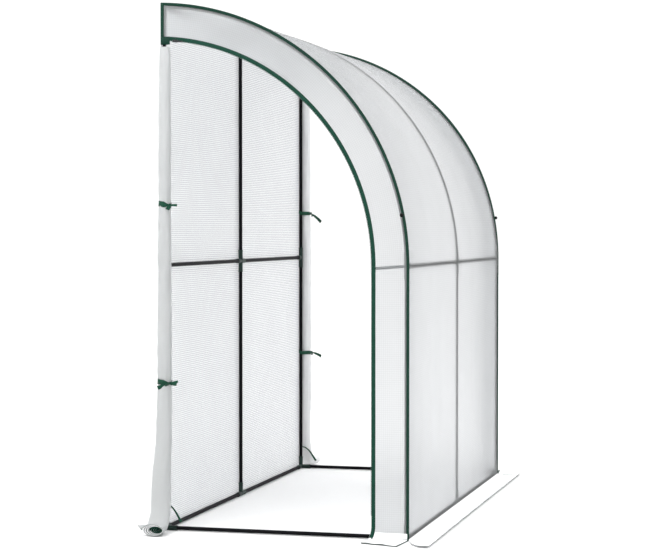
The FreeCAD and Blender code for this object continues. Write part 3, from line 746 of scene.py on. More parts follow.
def folded_profile():
    """The binding's outline, as out from the end plane and inset from the roof.

    Two legs lean in onto the cloth and meet in a fold, a quarter circle outside and a
    smaller one inside. Each leg ends in a cut 1.0 or 1.1 mm thick. The outline goes
    round once.
    """
    outer = BINDING_OFF + BINDING_THICK
    turn = np.linspace(0, math.pi / 2, 5)
    fold = np.column_stack([np.sin(turn), -np.cos(turn)])
    roof_leg = [(-BINDING_ROOF, 0.0025), (-BINDING_ROOF, 0.0014)]
    face_leg = [(-0.0003, BINDING_FACE), (-0.0013, BINDING_FACE)]
    return np.concatenate([roof_leg, outer * fold, face_leg, BINDING_OFF * fold[::-1]])


for end, side in ENDS:
    profile = folded_profile()
    length = np.linspace(BINDING_START, ARCH_LENGTH, BINDING_ROWS)[None]
    out = profile[:, :1] + 0 * length
    inset = profile[:, 1:] + 0 * length
    length = length + 0 * out
    fold = np.clip(1 + out / FOLD_DEPTH, 0, 1) * (inset < FOLD_DEPTH / 2)
    arch = ease((length - SPRING_Z) / (0.5 * ARC_LENGTH))
    inset = inset - SEAM_STAND[end] * fold * arch
    # Sewing draws the tape in a little at each stitch.
    pucker = STITCH_PUCKER * np.sin(2 * math.pi * length / STITCH_PITCH)
    uneven = ripple(length, 0 * length, 51 + side, TAPE_PUCKER_PITCH)
    pucker = pucker + TAPE_PUCKER * uneven
    face = np.maximum(inset, 0) / BINDING_FACE
    y, z = over_arch(share_at(length), inset)
    x = side * (END_X + out + pucker * face)
    around = run_along(profile)
    around = np.append(around, around[-1] + 0.001)[:, None]
    uv = np.stack([length[:1] + 0 * around, around + 0 * length[:1]], axis=-1)
    binding = surface(
        f"arch_tape_{end}",
        np.stack([x, np.minimum(y, -SEAM_GAP), z], axis=-1),
        uv,
        binding_tape,
        around=True,
        flip=side < 0,
    )
    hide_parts(f"arch_binding_{end}")
    length = np.linspace(BINDING_START, ARCH_LENGTH - 0.002, 3 * BINDING_ROWS)
    y, z = over_arch(share_at(length), FACE_STITCH_INSET)
    stitched = np.column_stack([0 * y + side * (END_X + BINDING_OFF), y, z])
    up = np.tile([side, 0.0, 0.0], (len(y), 1))
    stitch_line(f"arch_stitches_{end}", stitched, up)
    y, z = over_arch(share_at(length), ROOF_STITCH_INSET)
    inner_y, inner_z = over_arch(share_at(length), BAND_WIDTH / 3)
    stitched = np.column_stack([0 * y + side * (END_X - ROOF_STITCH_REACH), y, z])
    up = np.column_stack([0 * y, y - inner_y, z - inner_z])
    stitch_line(f"roof_edge_stitches_{end}", stitched, up)
    # The wall corner and the patch are flat tapes on the end plane.
    lift = END_X + CORNER_LIFT
    corner_z = np.linspace(PATCH_TOP - PATCH_HEIGHT, WALL_TOP - 0.001, 40)
    corner_y = np.full(len(corner_z), -CORNER_WIDTH / 2)
    path = np.column_stack([0 * corner_z + side * lift, corner_y, corner_z])
    across = np.tile([0.0, 1.0, 0.0], (len(path), 1))
    corner = tape(
        f"corner_tape_{end}", path, across, CORNER_WIDTH, BINDING_THICK, binding_tape
    )
    patch_y = np.linspace(-0.001, -PATCH_WIDTH, 24)
    patch_z = np.full(len(patch_y), PATCH_TOP - PATCH_HEIGHT / 2)
    bulge = np.sin(math.pi * np.linspace(0, 1, len(patch_y)))
    bulge = PATCH_LIFT + PATCH_BULGE * bulge
    path = np.column_stack([side * (lift + bulge), patch_y, patch_z])
    across = np.tile([0.0, 0.0, 1.0], (len(path), 1))
    patch = tape(
        f"zip_patch_{end}", path, across, PATCH_HEIGHT, BINDING_THICK, binding_tape
    )


# Zips. One half of each zip is sewn to the band: a knitted tape 16 mm wide and a nylon
# coil along its edge, which the parked slider rides on.
ZIP_TAPE = 0.016
TAPE_THICK = 0.0009
TAPE_PROUD = 0.0009
ZIP_SEAM = 0.003
ZIP_ROWS = 420
# The real coil has a tooth every 1.3 mm. It is drawn at 2.2 mm so that it shows.
COIL_PITCH = 0.0022
COIL_SIZE = (0.0017, 0.0007, 0.0009)
COIL_START = 0.095
COIL_OUT = 0.0012
# A quarter arc is shorter than its two straight sides by this share of the radius.
ARC_SAVING = 0.43
# Knitted polyester, a wale every 0.8 mm, drawn at 1.8 mm.
zip_cloth = woven_tape("knitted_polyester_tape", "#042117", "#0f3e30", 0.0018, 0.7, 0.02)
# Drawn nylon: dark green, smooth, a little glossy, and lighter in stretches of 8 mm.
coil_nylon = clouded(
    "nylon_monofilament",
    ("#0f261d", "#2b5443"),
    cloud=(120.0, 1.0),
    looks={"Roughness": 0.3, "IOR": 1.53},
)


def zip_top_length(inset):
    """Length along the arch where the zip ends, 0.8 of the way across its patch."""
    radius = ARC_RADIUS - inset
    last = math.acos((ARC_Y + PATCH_WIDTH * 0.8) / radius)
    share = last / math.acos(ARC_Y / radius)
    return SPRING_Z + share * ARC_LENGTH


for end, side in ENDS:
    centre_inset = BAND_WIDTH - ZIP_TAPE / 2
    tip = -(SKIRT_DOOR - ARC_SAVING * DOOR_BEND)
    length = np.linspace(tip + 0.004, zip_top_length(centre_inset), ZIP_ROWS)
    middle = on_end(side, length, centre_inset + 0 * length, TAPE_PROUD)
    door_edge = on_end(side, length, BAND_WIDTH + 0 * length, TAPE_PROUD)
    across = door_edge - middle
    zip_tape = tape(f"zip_tape_{end}", middle, across, ZIP_TAPE, TAPE_THICK, zip_cloth)
    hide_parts(f"band_zip_{end}")
    seam_inset = BAND_WIDTH - ZIP_TAPE + ZIP_SEAM
    length = np.linspace(tip + 0.01, zip_top_length(seam_inset), 3 * ZIP_ROWS)
    path = on_end(side, length, seam_inset + 0 * length, TAPE_PROUD + TAPE_THICK / 2)
    inner = on_end(side, length, seam_inset + 0 * length, 0.0)
    stitch_line(f"zip_stitches_{end}", path, path - inner)
    length = np.arange(COIL_START, zip_top_length(BAND_WIDTH), COIL_PITCH)
    centres = on_end(side, length, BAND_WIDTH + COIL_OUT + 0 * length, TAPE_PROUD)
    beside = on_end(side, length, BAND_WIDTH - ZIP_TAPE / 4 + 0 * length, TAPE_PROUD)
    along = unit(centres - beside)
    up = unit(np.cross(np.gradient(centres, axis=0), along))
    coil = capsules(
        f"zip_coil_{end}", centres, along, np.cross(up, along), up, COIL_SIZE, coil_nylon
    )


# Skirts. Plain white polyethylene flaps along the floor, sewn to the front and to each
# band's foot, where soil or gravel is laid on them. Their edges are bound or hemmed.
def plain_film():
    """Plain polyethylene film: white, soft gloss, creased finely where it was folded.

    Its tint clouds over some 100 mm.
    """
    material, tree = empty_material("plain_polyethylene")
    place = add(tree, "UVMap", uv_map="cloth").outputs["UV"]
    cloud = add(tree, "TexNoise", {"Vector": place, "Scale": 9.0, "Detail": 4.0})
    shade = add(
        tree,
        "Mix",
        {
            MIX_FACTOR: cloud.outputs["Fac"],
            MIX_A: linear("#f3f3f4"),
            MIX_B: linear("#fbfbfc"),
        },
        data_type="RGBA",
    )
    # Creases some 12 mm apart, as a film that was packed flat keeps them.
    crease = add(
        tree,
        "TexVoronoi",
        {"Vector": place, "Scale": 80.0},
        feature="DISTANCE_TO_EDGE",
    )
    soft = add(
        tree,
        "MapRange",
        {"Value": crease.outputs["Distance"], "From Max": 0.25},
        interpolation_type="SMOOTHSTEP",
    )
    bump = add(
        tree,
        "Bump",
        {"Height": soft.outputs[0], "Strength": 0.2, "Distance": 0.0004},
    )
    front = add(
        tree,
        "BsdfPrincipled",
        {
            "Base Color": shade.outputs[MIX_RESULT],
            "Roughness": 0.42,
            "IOR": 1.5,
            "Normal": bump.outputs["Normal"],
        },
    )
    through = add(tree, "BsdfTranslucent", {"Color": linear("#f2f3f3")})
    film = add(tree, "MixShader", {0: 0.06, 1: front.outputs[0], 2: through.outputs[0]})
    add(tree, "OutputMaterial", {"Surface": film.outputs[0]})
    return material


skirt_film = plain_film()
SKIRT_THICK = 0.0006
EDGE_WIDTH = 0.007
EDGE_THICK = 0.0016
SKIRT_ROWS = 56
SKIRT_LAP = 0.028
SKIRT_PROUD = 0.0007
SKIRT_LOOSE = 0.002
SKIRT_WAVE_PITCH = 0.09


def thicken(piece, thickness):
    """Gives a sheet its thickness, half to each side."""
    solid = piece.modifiers.new("thickness", "SOLIDIFY")
    solid.thickness = thickness
    solid.offset = 0


def bind_edge(name, edge, inside, width, overhang):
    """Binds a flap's edge with tape, whose overhang is the share of it past the edge.

    Inside is a line on the flap beside the edge. The tape stays above the floor.
    """
    across = unit(edge - inside)
    middle = edge - across * width * (0.5 - overhang)
    middle[:, 2] = np.maximum(middle[:, 2], EDGE_THICK / 2)
    bound = tape(name, middle, across, width, EDGE_THICK, binding_tape)


def skirt_length(inset, part):
    """Length of cloth above the floor line, for a part from 0 to 1 of the skirt."""
    across = inset / BAND_WIDTH
    bend = CORNER_BEND + (DOOR_BEND - CORNER_BEND) * ease(across)
    reach = SKIRT_CORNER + (SKIRT_DOOR - SKIRT_CORNER) * across
    return SKIRT_LAP - part * (SKIRT_LAP + reach - ARC_SAVING * bend)


for end, side in ENDS:
    part = np.linspace(0, 1, SKIRT_ROWS)[:, None]
    inset = np.linspace(0, BAND_WIDTH, SKIRT_ROWS)[None] + 0 * part
    length = skirt_length(inset, part + 0 * inset)
    points = on_end(side, length, inset, SKIRT_PROUD)
    # The skirt lies looser towards its outer edge and towards the door.
    loose = part * (1 - np.cos(math.pi * inset / BAND_WIDTH)) + part**2
    wave = ripple(points[..., 0], points[..., 1], 61 + side, SKIRT_WAVE_PITCH)
    points[..., 2] += SKIRT_LOOSE * loose * (0.5 + 0.5 * wave)
    skirt = surface(
        f"band_skirt_film_{end}",
        points,
        np.stack([inset, length], axis=-1),
        skirt_film,
        flip=side < 0,
    )
    thicken(skirt, SKIRT_THICK)
    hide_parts(f"band_skirt_{end}")
    # Edge tape along the outer side and the front side. The door side has the zip's.
    edges = (
        ("outer", points[-1, :], points[-3, :]),
        ("front", points[:, 0], points[:, 2]),
    )
    for where, edge, inside in edges:
        bind_edge(f"skirt_edge_{where}_{end}", edge, inside, EDGE_WIDTH, 0.15)

FRONT_SKIRT_WIDTH = FRONT_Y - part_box("front_skirt")[0].y
FRONT_SKIRT_NEAR = -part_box("front_skirt")[0].x - END_X
FRONT_BEND = 0.004
FRONT_LAP = 0.002
HEM_WIDTH = 0.0085
NEAR_EDGE_POWER = 2.6
NEAR_EDGE_HOOK = 0.07
FRONT_LOOSE = 0.0015
FRONT_WAVE_PITCH = 0.16
FRONT_CREASE_PITCH = 0.05
FRONT_CLEAR = 0.0006
# Cut edges curl up by 8 mm, the near one over its last 12 mm or so.
CURL = 0.008
CURL_WIDTH = 0.012
CURL_POWER = 24


def front_skirt_points(along, part):
    """The front skirt: down the front, round a small bend and out over the floor.

    Along goes from the near end to the far end, and part from the lap to the edge. The
    near edge curves outwards as a power of the distance to the outer edge, with a small
    hook back at the corner.
    """
    quarter = FRONT_BEND * math.pi / 2
    total = FRONT_LAP + quarter + FRONT_SKIRT_WIDTH - FRONT_BEND
    run = part * total
    turn = np.clip((run - FRONT_LAP) / FRONT_BEND, 0, math.pi / 2)
    flat_run = np.maximum(run - FRONT_LAP - quarter, 0)
    out = FRONT_BEND * (1 - np.cos(turn)) + flat_run
    z = FRONT_BEND * (1 - np.sin(turn)) + np.maximum(FRONT_LAP - run, 0)
    across = out / FRONT_SKIRT_WIDTH
    curve = (1 + NEAR_EDGE_HOOK) * (1 - (1 - across) ** NEAR_EDGE_POWER)
    curve = curve - NEAR_EDGE_HOOK * across**6
    near = -END_X - FRONT_SKIRT_NEAR * curve
    x = near + (END_X - near) * along
    wave = ripple(x, 0.6 * out, 71, FRONT_WAVE_PITCH)
    wave = wave + 0.4 * ripple(x, out, 72, FRONT_CREASE_PITCH)
    loose = FRONT_LOOSE * across * np.clip(0.7 + wave, 0, None)
    near_curl = np.exp(-(((near - x) / CURL_WIDTH) ** 2)) * across**0.5
    loose = loose + CURL * np.maximum(across**CURL_POWER, near_curl)
    y = FRONT_Y - SEAM_GAP - out
    return np.stack([x, y, z + loose + FRONT_CLEAR], axis=-1), x, run


part = np.linspace(0, 1, 40)[None]
along = np.linspace(0, 1, 300)[:, None] ** 1.3 + 0 * part
points, x, run = front_skirt_points(along, part + 0 * along)
front_flap = surface(
    "front_skirt_film", points, np.stack([x, run], axis=-1), skirt_film, flip=True
)
thicken(front_flap, SKIRT_THICK)
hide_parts("front_skirt")
hems = (
    ("outer", points[:, -1], points[:, -3]),
    ("near", points[0, 3:], points[3, 3:]),
    ("far", points[-1, 10:], points[-4, 10:]),
)
for where, edge, inside in hems:
    bind_edge(f"front_skirt_hem_{where}", edge, inside, HEM_WIDTH, 0.20)


# Band stays. A grey tape behind each band at rail height, from the front connector to
# the zip, which keeps the band from pulling out of line.
STAY_LOW, STAY_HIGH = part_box("band_stays")
STAY_WIDTH = 0.012
STAY_THICK = 0.0009
STAY_TUCK = 0.005
STAY_BEHIND = 0.0016
STAY_BOW = 0.0006
STAY_DROP = STAY_HIGH.z - STAY_LOW.z - STAY_WIDTH
# Polyester tape with a cord every 0.8 mm, drawn at 1.8 mm.
stay_tape = woven_tape("woven_polyester_tape", "#3a4043", "#5f676a", 0.0018, 0.65, 0.1)
for end, side in ENDS:
    part = np.linspace(0, 1, 30)
    stay_y = STAY_LOW.y - STAY_TUCK + (STAY_HIGH.y - STAY_LOW.y + STAY_TUCK) * part
    stay_z = STAY_HIGH.z - STAY_WIDTH / 2 - STAY_DROP * part
    stay_x = side * (BAND_X - STAY_BEHIND - STAY_BOW * np.sin(math.pi * part))
    path = np.column_stack([0 * part + stay_x, stay_y, stay_z])
    across = np.tile([0.0, 0.0, 1.0], (len(path), 1))
    stay = tape(f"band_stay_{end}", path, across, STAY_WIDTH, STAY_THICK, stay_tape)
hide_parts("band_stays")


# Door rolls. Each door is unzipped and wound up from its zip edge towards the wall
# corner. The roll thins where the door is narrow, loosens at the floor and bends out.
ROLL_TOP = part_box("door_roll_far")[1].z
FOOT_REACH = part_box("door_roll_far")[1].x - END_X
# Wound up, the sheet is many layers deep and lets less through. The far roll lies in
# shade, and its cloth is given whiter tints as painted light, because the photograph
# shows both rolls about as light.
ROLLED_FILM = {
    "near": polyethylene(
        "near_rolled_polyethylene",
        ("#d6d8d9", "#dee0e0"),
        ("#e2e3e3", "#e8e8e8"),
        clear=0.55,
    ),
    "far": polyethylene(
        "far_roll_polyethylene_with_painted_light",
        ("#f0f1f2", "#f6f7f7"),
        ("#fafafa", "#fcfcfc"),
        clear=0.15,
    ),
}
ROLL_CORE = 0.0035
ROLL_CLEAR = 0.0006
FOOT_CENTRE_Z = 0.0245
TURN_HEIGHT = 0.150
TURN_REACH = 0.093
ROLL_SHEET_THICK = 0.0006
ROLL_TAPE_THICK = 0.0012
ROLL_ROWS = 190
ROLL_COLUMNS = 300
# The web is the flat cloth from the wall corner to the roll.
WEB_COLUMNS = 10
WEB_WIDTH = 0.03
WEB_SAG = 0.004
ROLL_FLOOR_CLEAR = 0.0010
HEM_LENGTH = 0.0008
HEM_PROUD = 0.0004
# The door tapers to nothing at the top, and counts as at least this wide there.
DOOR_LEAST_WIDTH = 0.12
# The wound cloth's long and short folds, by their height and the distance between them.
LONG_FOLD = 0.0016
LONG_FOLD_PITCH = 0.8
SHORT_FOLD = 0.0010
SHORT_FOLD_PITCH = 0.05
TIE_PINCH = 0.09
TIE_PINCH_REACH = 0.022
# Share of the half width by which the loose core lies to the door's side at the foot.
CORE_SHIFT = 0.55
# The door wasn't wound quite square, so each turn ends a little higher than the last.
SKEW = 0.013
# Windings between which the cloth, the zip's tape and the core's tape fill the foot.
CLOTH_FILL = (0.0, 0.58)
TAPE_FILL = (0.58, 0.97)
CORE_WOUND = (0.975, 1.0)
FILL_SPAN = (0.38, 0.92)
FILL_SET_BACK = 0.0025
# Height of each tie on the near and far side. Tied by hand, the far ones sit lower.
TIES = {
    -1: (("middle", 0.605), ("high", 1.320)),
    1: (("middle", 0.593), ("high", 1.302)),
}
# Distance down the roll, its half width along the wall, its half depth and its centre.
ROLL_SHAPE = (
    (0.000, 0.0210, 0.0120, -0.0230),
    (0.050, 0.0240, 0.0165, -0.0255),
    (0.250, 0.0250, 0.0225, -0.0262),
    (0.570, 0.0252, 0.0245, -0.0262),
    (0.900, 0.0272, 0.0270, -0.0262),
    (1.060, 0.0282, 0.0280, -0.0260),
    (1.420, 0.0300, 0.0290, -0.0250),
    (1.580, 0.0330, 0.0300, -0.0220),
    (1.700, 0.0380, 0.0310, -0.0130),
    (1.820, 0.0420, 0.0300, -0.0100),
    (1.890, 0.0420, 0.0260, -0.0130),
    (2.015, 0.0460, 0.0235, -0.0200),
)
STRAIGHT = ROLL_TOP - TURN_HEIGHT
QUARTER = math.pi / 2 * (TURN_REACH + TURN_HEIGHT - FOOT_CENTRE_Z) / 2
START_DEPTH = 0.0306
ROLL_LENGTH = STRAIGHT + QUARTER + FOOT_REACH - ROLL_CLEAR - START_DEPTH - TURN_REACH
LOOSE_TIP = np.array([END_X + FOOT_REACH, 0.041, 0.045])


def roll_path(down):
    """The roll's centre line, turn, half width and half depth, by the distance down it.

    It falls straight, turns outwards on a quarter of an ellipse, and runs along the
    floor to its end. The half depth keeps it clear of the end plane.
    """
    knots = np.array(ROLL_SHAPE)
    half_width, half_depth, centre_y = (
        np.interp(down, knots[:, 0], knots[:, column]) for column in (1, 2, 3)
    )
    turn = np.clip((down - STRAIGHT) / QUARTER, 0, 1) * math.pi / 2
    beyond = np.maximum(down - STRAIGHT - QUARTER, 0)
    x = END_X + ROLL_CLEAR + np.where(turn > 0, START_DEPTH, half_depth)
    x = x + TURN_REACH * (1 - np.cos(turn)) + beyond
    drop = (TURN_HEIGHT - FOOT_CENTRE_Z) * np.sin(turn)
    z = ROLL_TOP - np.minimum(down, STRAIGHT) - drop
    return x, centre_y, z, turn, half_width, half_depth


def door_width(z):
    """The door's width at a height: the zip's distance from the wall, by Pythagoras."""
    radius = ARC_RADIUS - BAND_WIDTH
    rise = np.clip(z - SPRING_Z, 0, radius - 1e-4)
    return np.maximum(np.sqrt(radius**2 - rise**2) - ARC_Y, DOOR_LEAST_WIDTH)


def winding(down):
    """The roll's mean radius, and the pitch from turn to turn, by the distance down it.

    The roll's end area, less the core's, is shared out over the door's width.
    """
    z, _, half_width, half_depth = roll_path(down)[2:]
    mean = np.sqrt(half_width * half_depth)
    return mean, math.pi * (mean**2 - ROLL_CORE**2) / door_width(z)


def wound_radius(mean, left):
    """The radius at which a share of the cloth is left to wind: a root, as for areas."""
    return np.sqrt(ROLL_CORE**2 + (mean**2 - ROLL_CORE**2) * left)


def roll_points(side, down, wound):
    """Points of the wound door. Wound is 0 at the outer turn's start and 1 at the core.

    The radius falls as the root of the cloth that is left, so each turn lies a pitch
    inside the last, and the turn is the radius lost over that pitch. Below 0 the cloth
    runs straight from the wall corner, or from the loose tip at the foot, to the roll.
    """
    x, centre_y, z, turn, half_width, half_depth = roll_path(down)
    mean, pitch = winding(down)
    radius = wound_radius(mean, np.clip(1 - wound, 0, 1))
    angle = 2 * math.pi * (mean - radius) / pitch
    outer = (radius / mean) ** 2
    long_fold = ripple(2.2 * np.sin(angle), 3 * down, 81 + side, LONG_FOLD_PITCH)
    short_fold = ripple(angle * 0.02, down, 91 + side, SHORT_FOLD_PITCH)
    fold = outer * (LONG_FOLD * long_fold + SHORT_FOLD * short_fold)
    ties = sum(
        np.exp(-(((z - height) / TIE_PINCH_REACH) ** 2)) for _, height in TIES[side]
    )
    # The roll loosens over 250 mm of its length, from 100 mm above where it turns out.
    loosen = ease((down - STRAIGHT + 0.1) / 0.25)
    pinch = 1 - TIE_PINCH * ties * (1 - 0.5 * loosen)
    size = (radius + fold) / mean * pinch
    # Angle 0 is the wall side. The cloth goes round outwards, away from the wall. The
    # inner turns lie to the door side where the roll is loose.
    level = half_depth * size * np.sin(angle)
    along_wall = half_width * size * np.cos(angle)
    along_wall = along_wall - CORE_SHIFT * loosen * half_width * (1 - radius / mean)
    point = np.stack(
        [x + level * np.cos(turn), centre_y + along_wall, z + level * np.sin(turn)],
        axis=-1,
    )
    corner = np.stack([END_X + 0 * z, -SEAM_GAP + 0 * z, z], axis=-1)
    slack = ease((down - STRAIGHT - 0.45 * QUARTER) / (0.7 * QUARTER))[..., None]
    reach = np.clip(-wound, 0, 1)[..., None]
    sag = WEB_SAG * np.sin(math.pi * reach) * (1 - slack) * np.array([0, 1, 0])
    corner = corner * (1 - slack) + LOOSE_TIP * slack + sag
    point = point * (1 - reach) + corner * reach
    point[..., 2] = np.maximum(point[..., 2], ROLL_FLOOR_CLEAR)
    return point * np.array([side, 1, 1])


def next_turn(down, wound):
    """The winding one full turn further in: the radius less a pitch, by the same root."""
    mean, pitch = winding(down)
    inner = np.maximum(wound_radius(mean, 1 - wound) - pitch, ROLL_CORE)
    return 1 - (inner**2 - ROLL_CORE**2) / (mean**2 - ROLL_CORE**2)


def roll_piece(name, side, downs, wounds, material, thickness):
    """A piece of the wound cloth between two distances down and two windings."""
    wound = wounds[None] + 0 * downs[:, None]
    down = downs[:, None] * (1 - SKEW * np.clip(wound, 0, 1))
    points = roll_points(side, down, wound)
    width = np.where(wound > 0, door_width(roll_path(down)[2]), WEB_WIDTH)
    uv = np.stack([down, wound * width], axis=-1)
    made = surface(name, points, uv, material, flip=side > 0)
    thicken(made, thickness)
    return made


for end, side in ENDS:
    web = np.linspace(-1, 0, WEB_COLUMNS, endpoint=False)
    wounds = np.concatenate([web, np.linspace(0, 1, ROLL_COLUMNS)])
    downs = np.linspace(0, ROLL_LENGTH, ROLL_ROWS)
    door = roll_piece(
        f"rolled_door_{end}", side, downs, wounds, ROLLED_FILM[end], ROLL_SHEET_THICK
    )
    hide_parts(f"door_roll_{end}")
    foot = np.linspace(ROLL_LENGTH - HEM_LENGTH, ROLL_LENGTH + HEM_PROUD, 3)
    hem = roll_piece(
        f"door_hem_{end}", side, foot, wounds[:-4], binding_tape, ROLL_TAPE_THICK
    )
    # Slack cloth is crumpled into the foot between the turns, and the zip's tape into
    # the middle. Each is a spiral face between one turn and the next, set back a little.
    fills = (
        ("crumpled_cloth", CLOTH_FILL, skirt_film, "door_cloth"),
        ("crumpled_zip_tape", TAPE_FILL, zip_cloth, "zip"),
    )
    for label, (start, stop), material, slot in fills:
        inward = np.linspace(*FILL_SPAN, 4)[:, None]
        wound = np.linspace(start, stop, 220)[None] + 0 * inward
        down = ROLL_LENGTH - FILL_SET_BACK - SKEW * ROLL_LENGTH * wound
        outer_turn = roll_points(side, down, wound)
        inner_turn = roll_points(side, down, next_turn(down, wound))
        points = outer_turn + (inner_turn - outer_turn) * inward[..., None]
        uv = np.stack([inward * 0.004 + 0 * wound, wound], axis=-1)
        crumpled = surface(f"{label}_{end}", points, uv, material, flip=side < 0)
        thicken(crumpled, FILL_SET_BACK)
    core = roll_piece(
        f"door_zip_tape_{end}",
        side,
        downs,
        np.linspace(*CORE_WOUND, 12),
        zip_cloth,
        ROLL_TAPE_THICK,
    )


# Door ties. Dark green ribbons sewn to the wall corner, three to a door. Two go round
# post and roll and are knotted on the door side, and the low one hangs loose.
# The ribbon has a rib every 0.6 mm, drawn at 1.4 mm.
ribbon_cloth = woven_tape(
    "woven_polyester_ribbon", "#05241a", "#154634", 0.0014, 0.55, 0.04
)
POST_RADIUS = 0.008
POST_CENTRE = np.array([HOOP_X, -0.012])
TIE_WIDTH = {"near": 0.023, "far": 0.018}
TIE_THICK = 0.0009
TIE_OFF = 0.0014
# Pulled tight, a tie squeezes the roll to this share of its width.
TIE_SQUEEZE = 0.93
LOW_TIE_WIDTH = 0.011
LOW_TIE_LINE = (
    (END_X + 0.0012, -0.004, 0.108),
    (END_X - 0.0010, -0.030, 0.112),
    (END_X + 0.0010, -0.050, 0.102),
    (END_X + 0.0040, -0.066, 0.070),
    (END_X + 0.0060, -0.086, 0.038),
)
KNOT_TURN = math.radians(57)
KNOT_PROUD = 0.0035
# The knot is two bights wound round each other: each one's width, tilt and radius.
KNOT_BIGHTS = ((0.009, 0.5, 0.0048), (0.008, -0.9, 0.0039))
BOW_WIDTH = 0.012
UP = np.array([0.0, 0.0, 1.0])
OUTWARDS = np.array([1.0, 0.0, 0.0])
# Each tail's direction outwards, along the wall and up, its length and its width.
TIE_TAILS = {
    ("middle", "near"): (
        ((0.2, -1.0, 0.25), 0.040, 0.010),
        ((0.4, 1.0, -0.3), 0.052, 0.017),
    ),
    ("high", "near"): (
        ((0.2, -1.0, 0.05), 0.036, 0.010),
        ((0.6, 0.35, -0.9), 0.020, 0.016),
    ),
    ("middle", "far"): (
        ((0.2, -0.92, -0.38), 0.052, 0.018),
        ((0.8, 0.3, -0.9), 0.016, 0.010),
    ),
    ("high", "far"): (
        ((0.2, -0.75, -0.62), 0.066, 0.018),
        ((0.8, -0.2, -0.9), 0.018, 0.010),
    ),
}


def bezier(points, count):
    """A smooth line drawn by a few points, as a sum of Bernstein polynomials."""
    points = np.array(points, float)
    order = len(points) - 1
    at = np.linspace(0, 1, count)[:, None]
    total = 0
    for index, point in enumerate(points):
        weight = math.comb(order, index) * at**index * (1 - at) ** (order - index)
        total = total + weight * point
    return total


def tie_outline(height):
    """The tie's line in X and Y, pulled tight round post and roll, and its outward way.

    In each direction the two reach out to h. The outline is h times the direction plus
    the slope of h times the direction a quarter turn on.
    """
    x, y, _, _, half_width, half_depth = roll_path(ROLL_TOP - height)
    angle = np.linspace(0, 2 * math.pi, 721)
    outward = np.column_stack([np.cos(angle), np.sin(angle)])
    quarter_on = np.column_stack([-np.sin(angle), np.cos(angle)])
    squeezed = TIE_SQUEEZE * np.array([half_depth, half_width])
    rim = np.array([x, y]) + squeezed * outward
    post = POST_CENTRE + POST_RADIUS * outward
    most = (np.concatenate([rim, post]) @ outward.T).max(axis=0) + TIE_OFF
    slope = np.gradient(most, angle)[:, None]
    outline = most[:, None] * outward + slope * quarter_on
    return outline[::4], outward[::4]


def ribbon(name, side, path, across, width):
    """A ribbon of a tie, mirrored to its end of the greenhouse."""
    mirror = np.array([side, 1, 1])
    across = np.broadcast_to(across, path.shape)
    made = tape(name, path * mirror, across * mirror, width, TIE_THICK, ribbon_cloth)
    return made


pick = np.random.default_rng(7)
for end, side in ENDS:
    for label, height in TIES[side]:
        outline, outward = tie_outline(height)
        turn = np.linspace(0, 2 * math.pi, len(outline))[:, None]
        path = np.column_stack([outline, height + 0.004 * np.sin(turn[:, 0])])
        flat_out = np.column_stack([outward, 0 * turn])
        across = UP + 0.12 * flat_out * np.sin(3 * turn)
        toward = np.array([math.cos(KNOT_TURN), -math.sin(KNOT_TURN), 0.0])
        facing = flat_out @ toward
        at = np.argmax(facing)
        # The ribbon gathers to about a third of its width at the knot.
        width = TIE_WIDTH[end] * (1 - 0.65 * np.clip(facing, 0, 1) ** 6)
        ribbon(f"door_tie_{label}_{end}", side, path, across, width)
        knot = path[at] + toward * KNOT_PROUD
        sideways = np.array([-toward[1], toward[0], 0.0])
        for index, (width, tilt, radius) in enumerate(KNOT_BIGHTS):
            turn = np.linspace(0, 2 * math.pi, 28)[:, None]
            lead = sideways * math.cos(tilt) + UP * math.sin(tilt)
            axis = np.cross(toward, lead)
            ring = radius * (np.cos(turn) * lead + 0.85 * np.sin(turn) * toward)
            ring = knot + ring + 0.0012 * np.sin(2 * turn) * axis
            ribbon(f"tie_knot_{label}_{index}_{end}", side, ring, axis, width)
        for index, (lead, reach, width) in enumerate(TIE_TAILS[label, end]):
            lead = np.array(lead) + 0.06 * pick.uniform(-1, 1, 3)
            lead = lead / np.linalg.norm(lead)
            path = bezier(
                [
                    knot,
                    knot + 0.35 * reach * lead + 0.006 * toward,
                    knot + 0.7 * reach * lead + 0.004 * toward,
                    knot + reach * lead - 0.002 * UP,
                ],
                22,
            )
            # The tail opens from the gathered knot and shows its flat side outwards.
            open_up = np.linspace(0, 1, len(path))
            turn = (0.7 - 0.5 * open_up + 0.2 * pick.uniform(-1, 1))[:, None]
            flat = np.cross(OUTWARDS, lead)
            across = flat * np.cos(turn) + OUTWARDS * np.sin(turn)
            widths = width * (0.4 + 0.6 * ease(3 * open_up))
            ribbon(f"tie_tail_{label}_{index}_{end}", side, path, across, widths)
        if (label, end) != ("middle", "near"):
            continue
        # This one is done up in a bow: a loop on each side, its ribbon upright.
        for index, sense in enumerate((-1, 1)):
            line = [
                knot,
                knot + sideways * sense * 0.018 + toward * 0.012,
                knot + sideways * sense * 0.040 + toward * 0.012 - UP * 0.006,
                knot + sideways * sense * 0.034 + toward * 0.001 - UP * 0.010,
                knot,
            ]
            path = bezier(line, 30)
            ribbon(f"tie_bow_{index}_{end}", side, path, UP + toward * 0.3, BOW_WIDTH)
    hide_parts(f"door_ties_{end}")
    # The low tie: along the end plane behind the roll, and down past the foot.
    path = bezier(LOW_TIE_LINE, 40)
    twist = np.linspace(0.0, 1.0, len(path))[:, None]
    across = UP * np.cos(twist) - np.array([0.0, 1.0, 0.0]) * np.sin(twist)
    width = LOW_TIE_WIDTH * np.linspace(0.3, 1, len(path))
    ribbon(f"loose_tie_{end}", side, path, across, width)


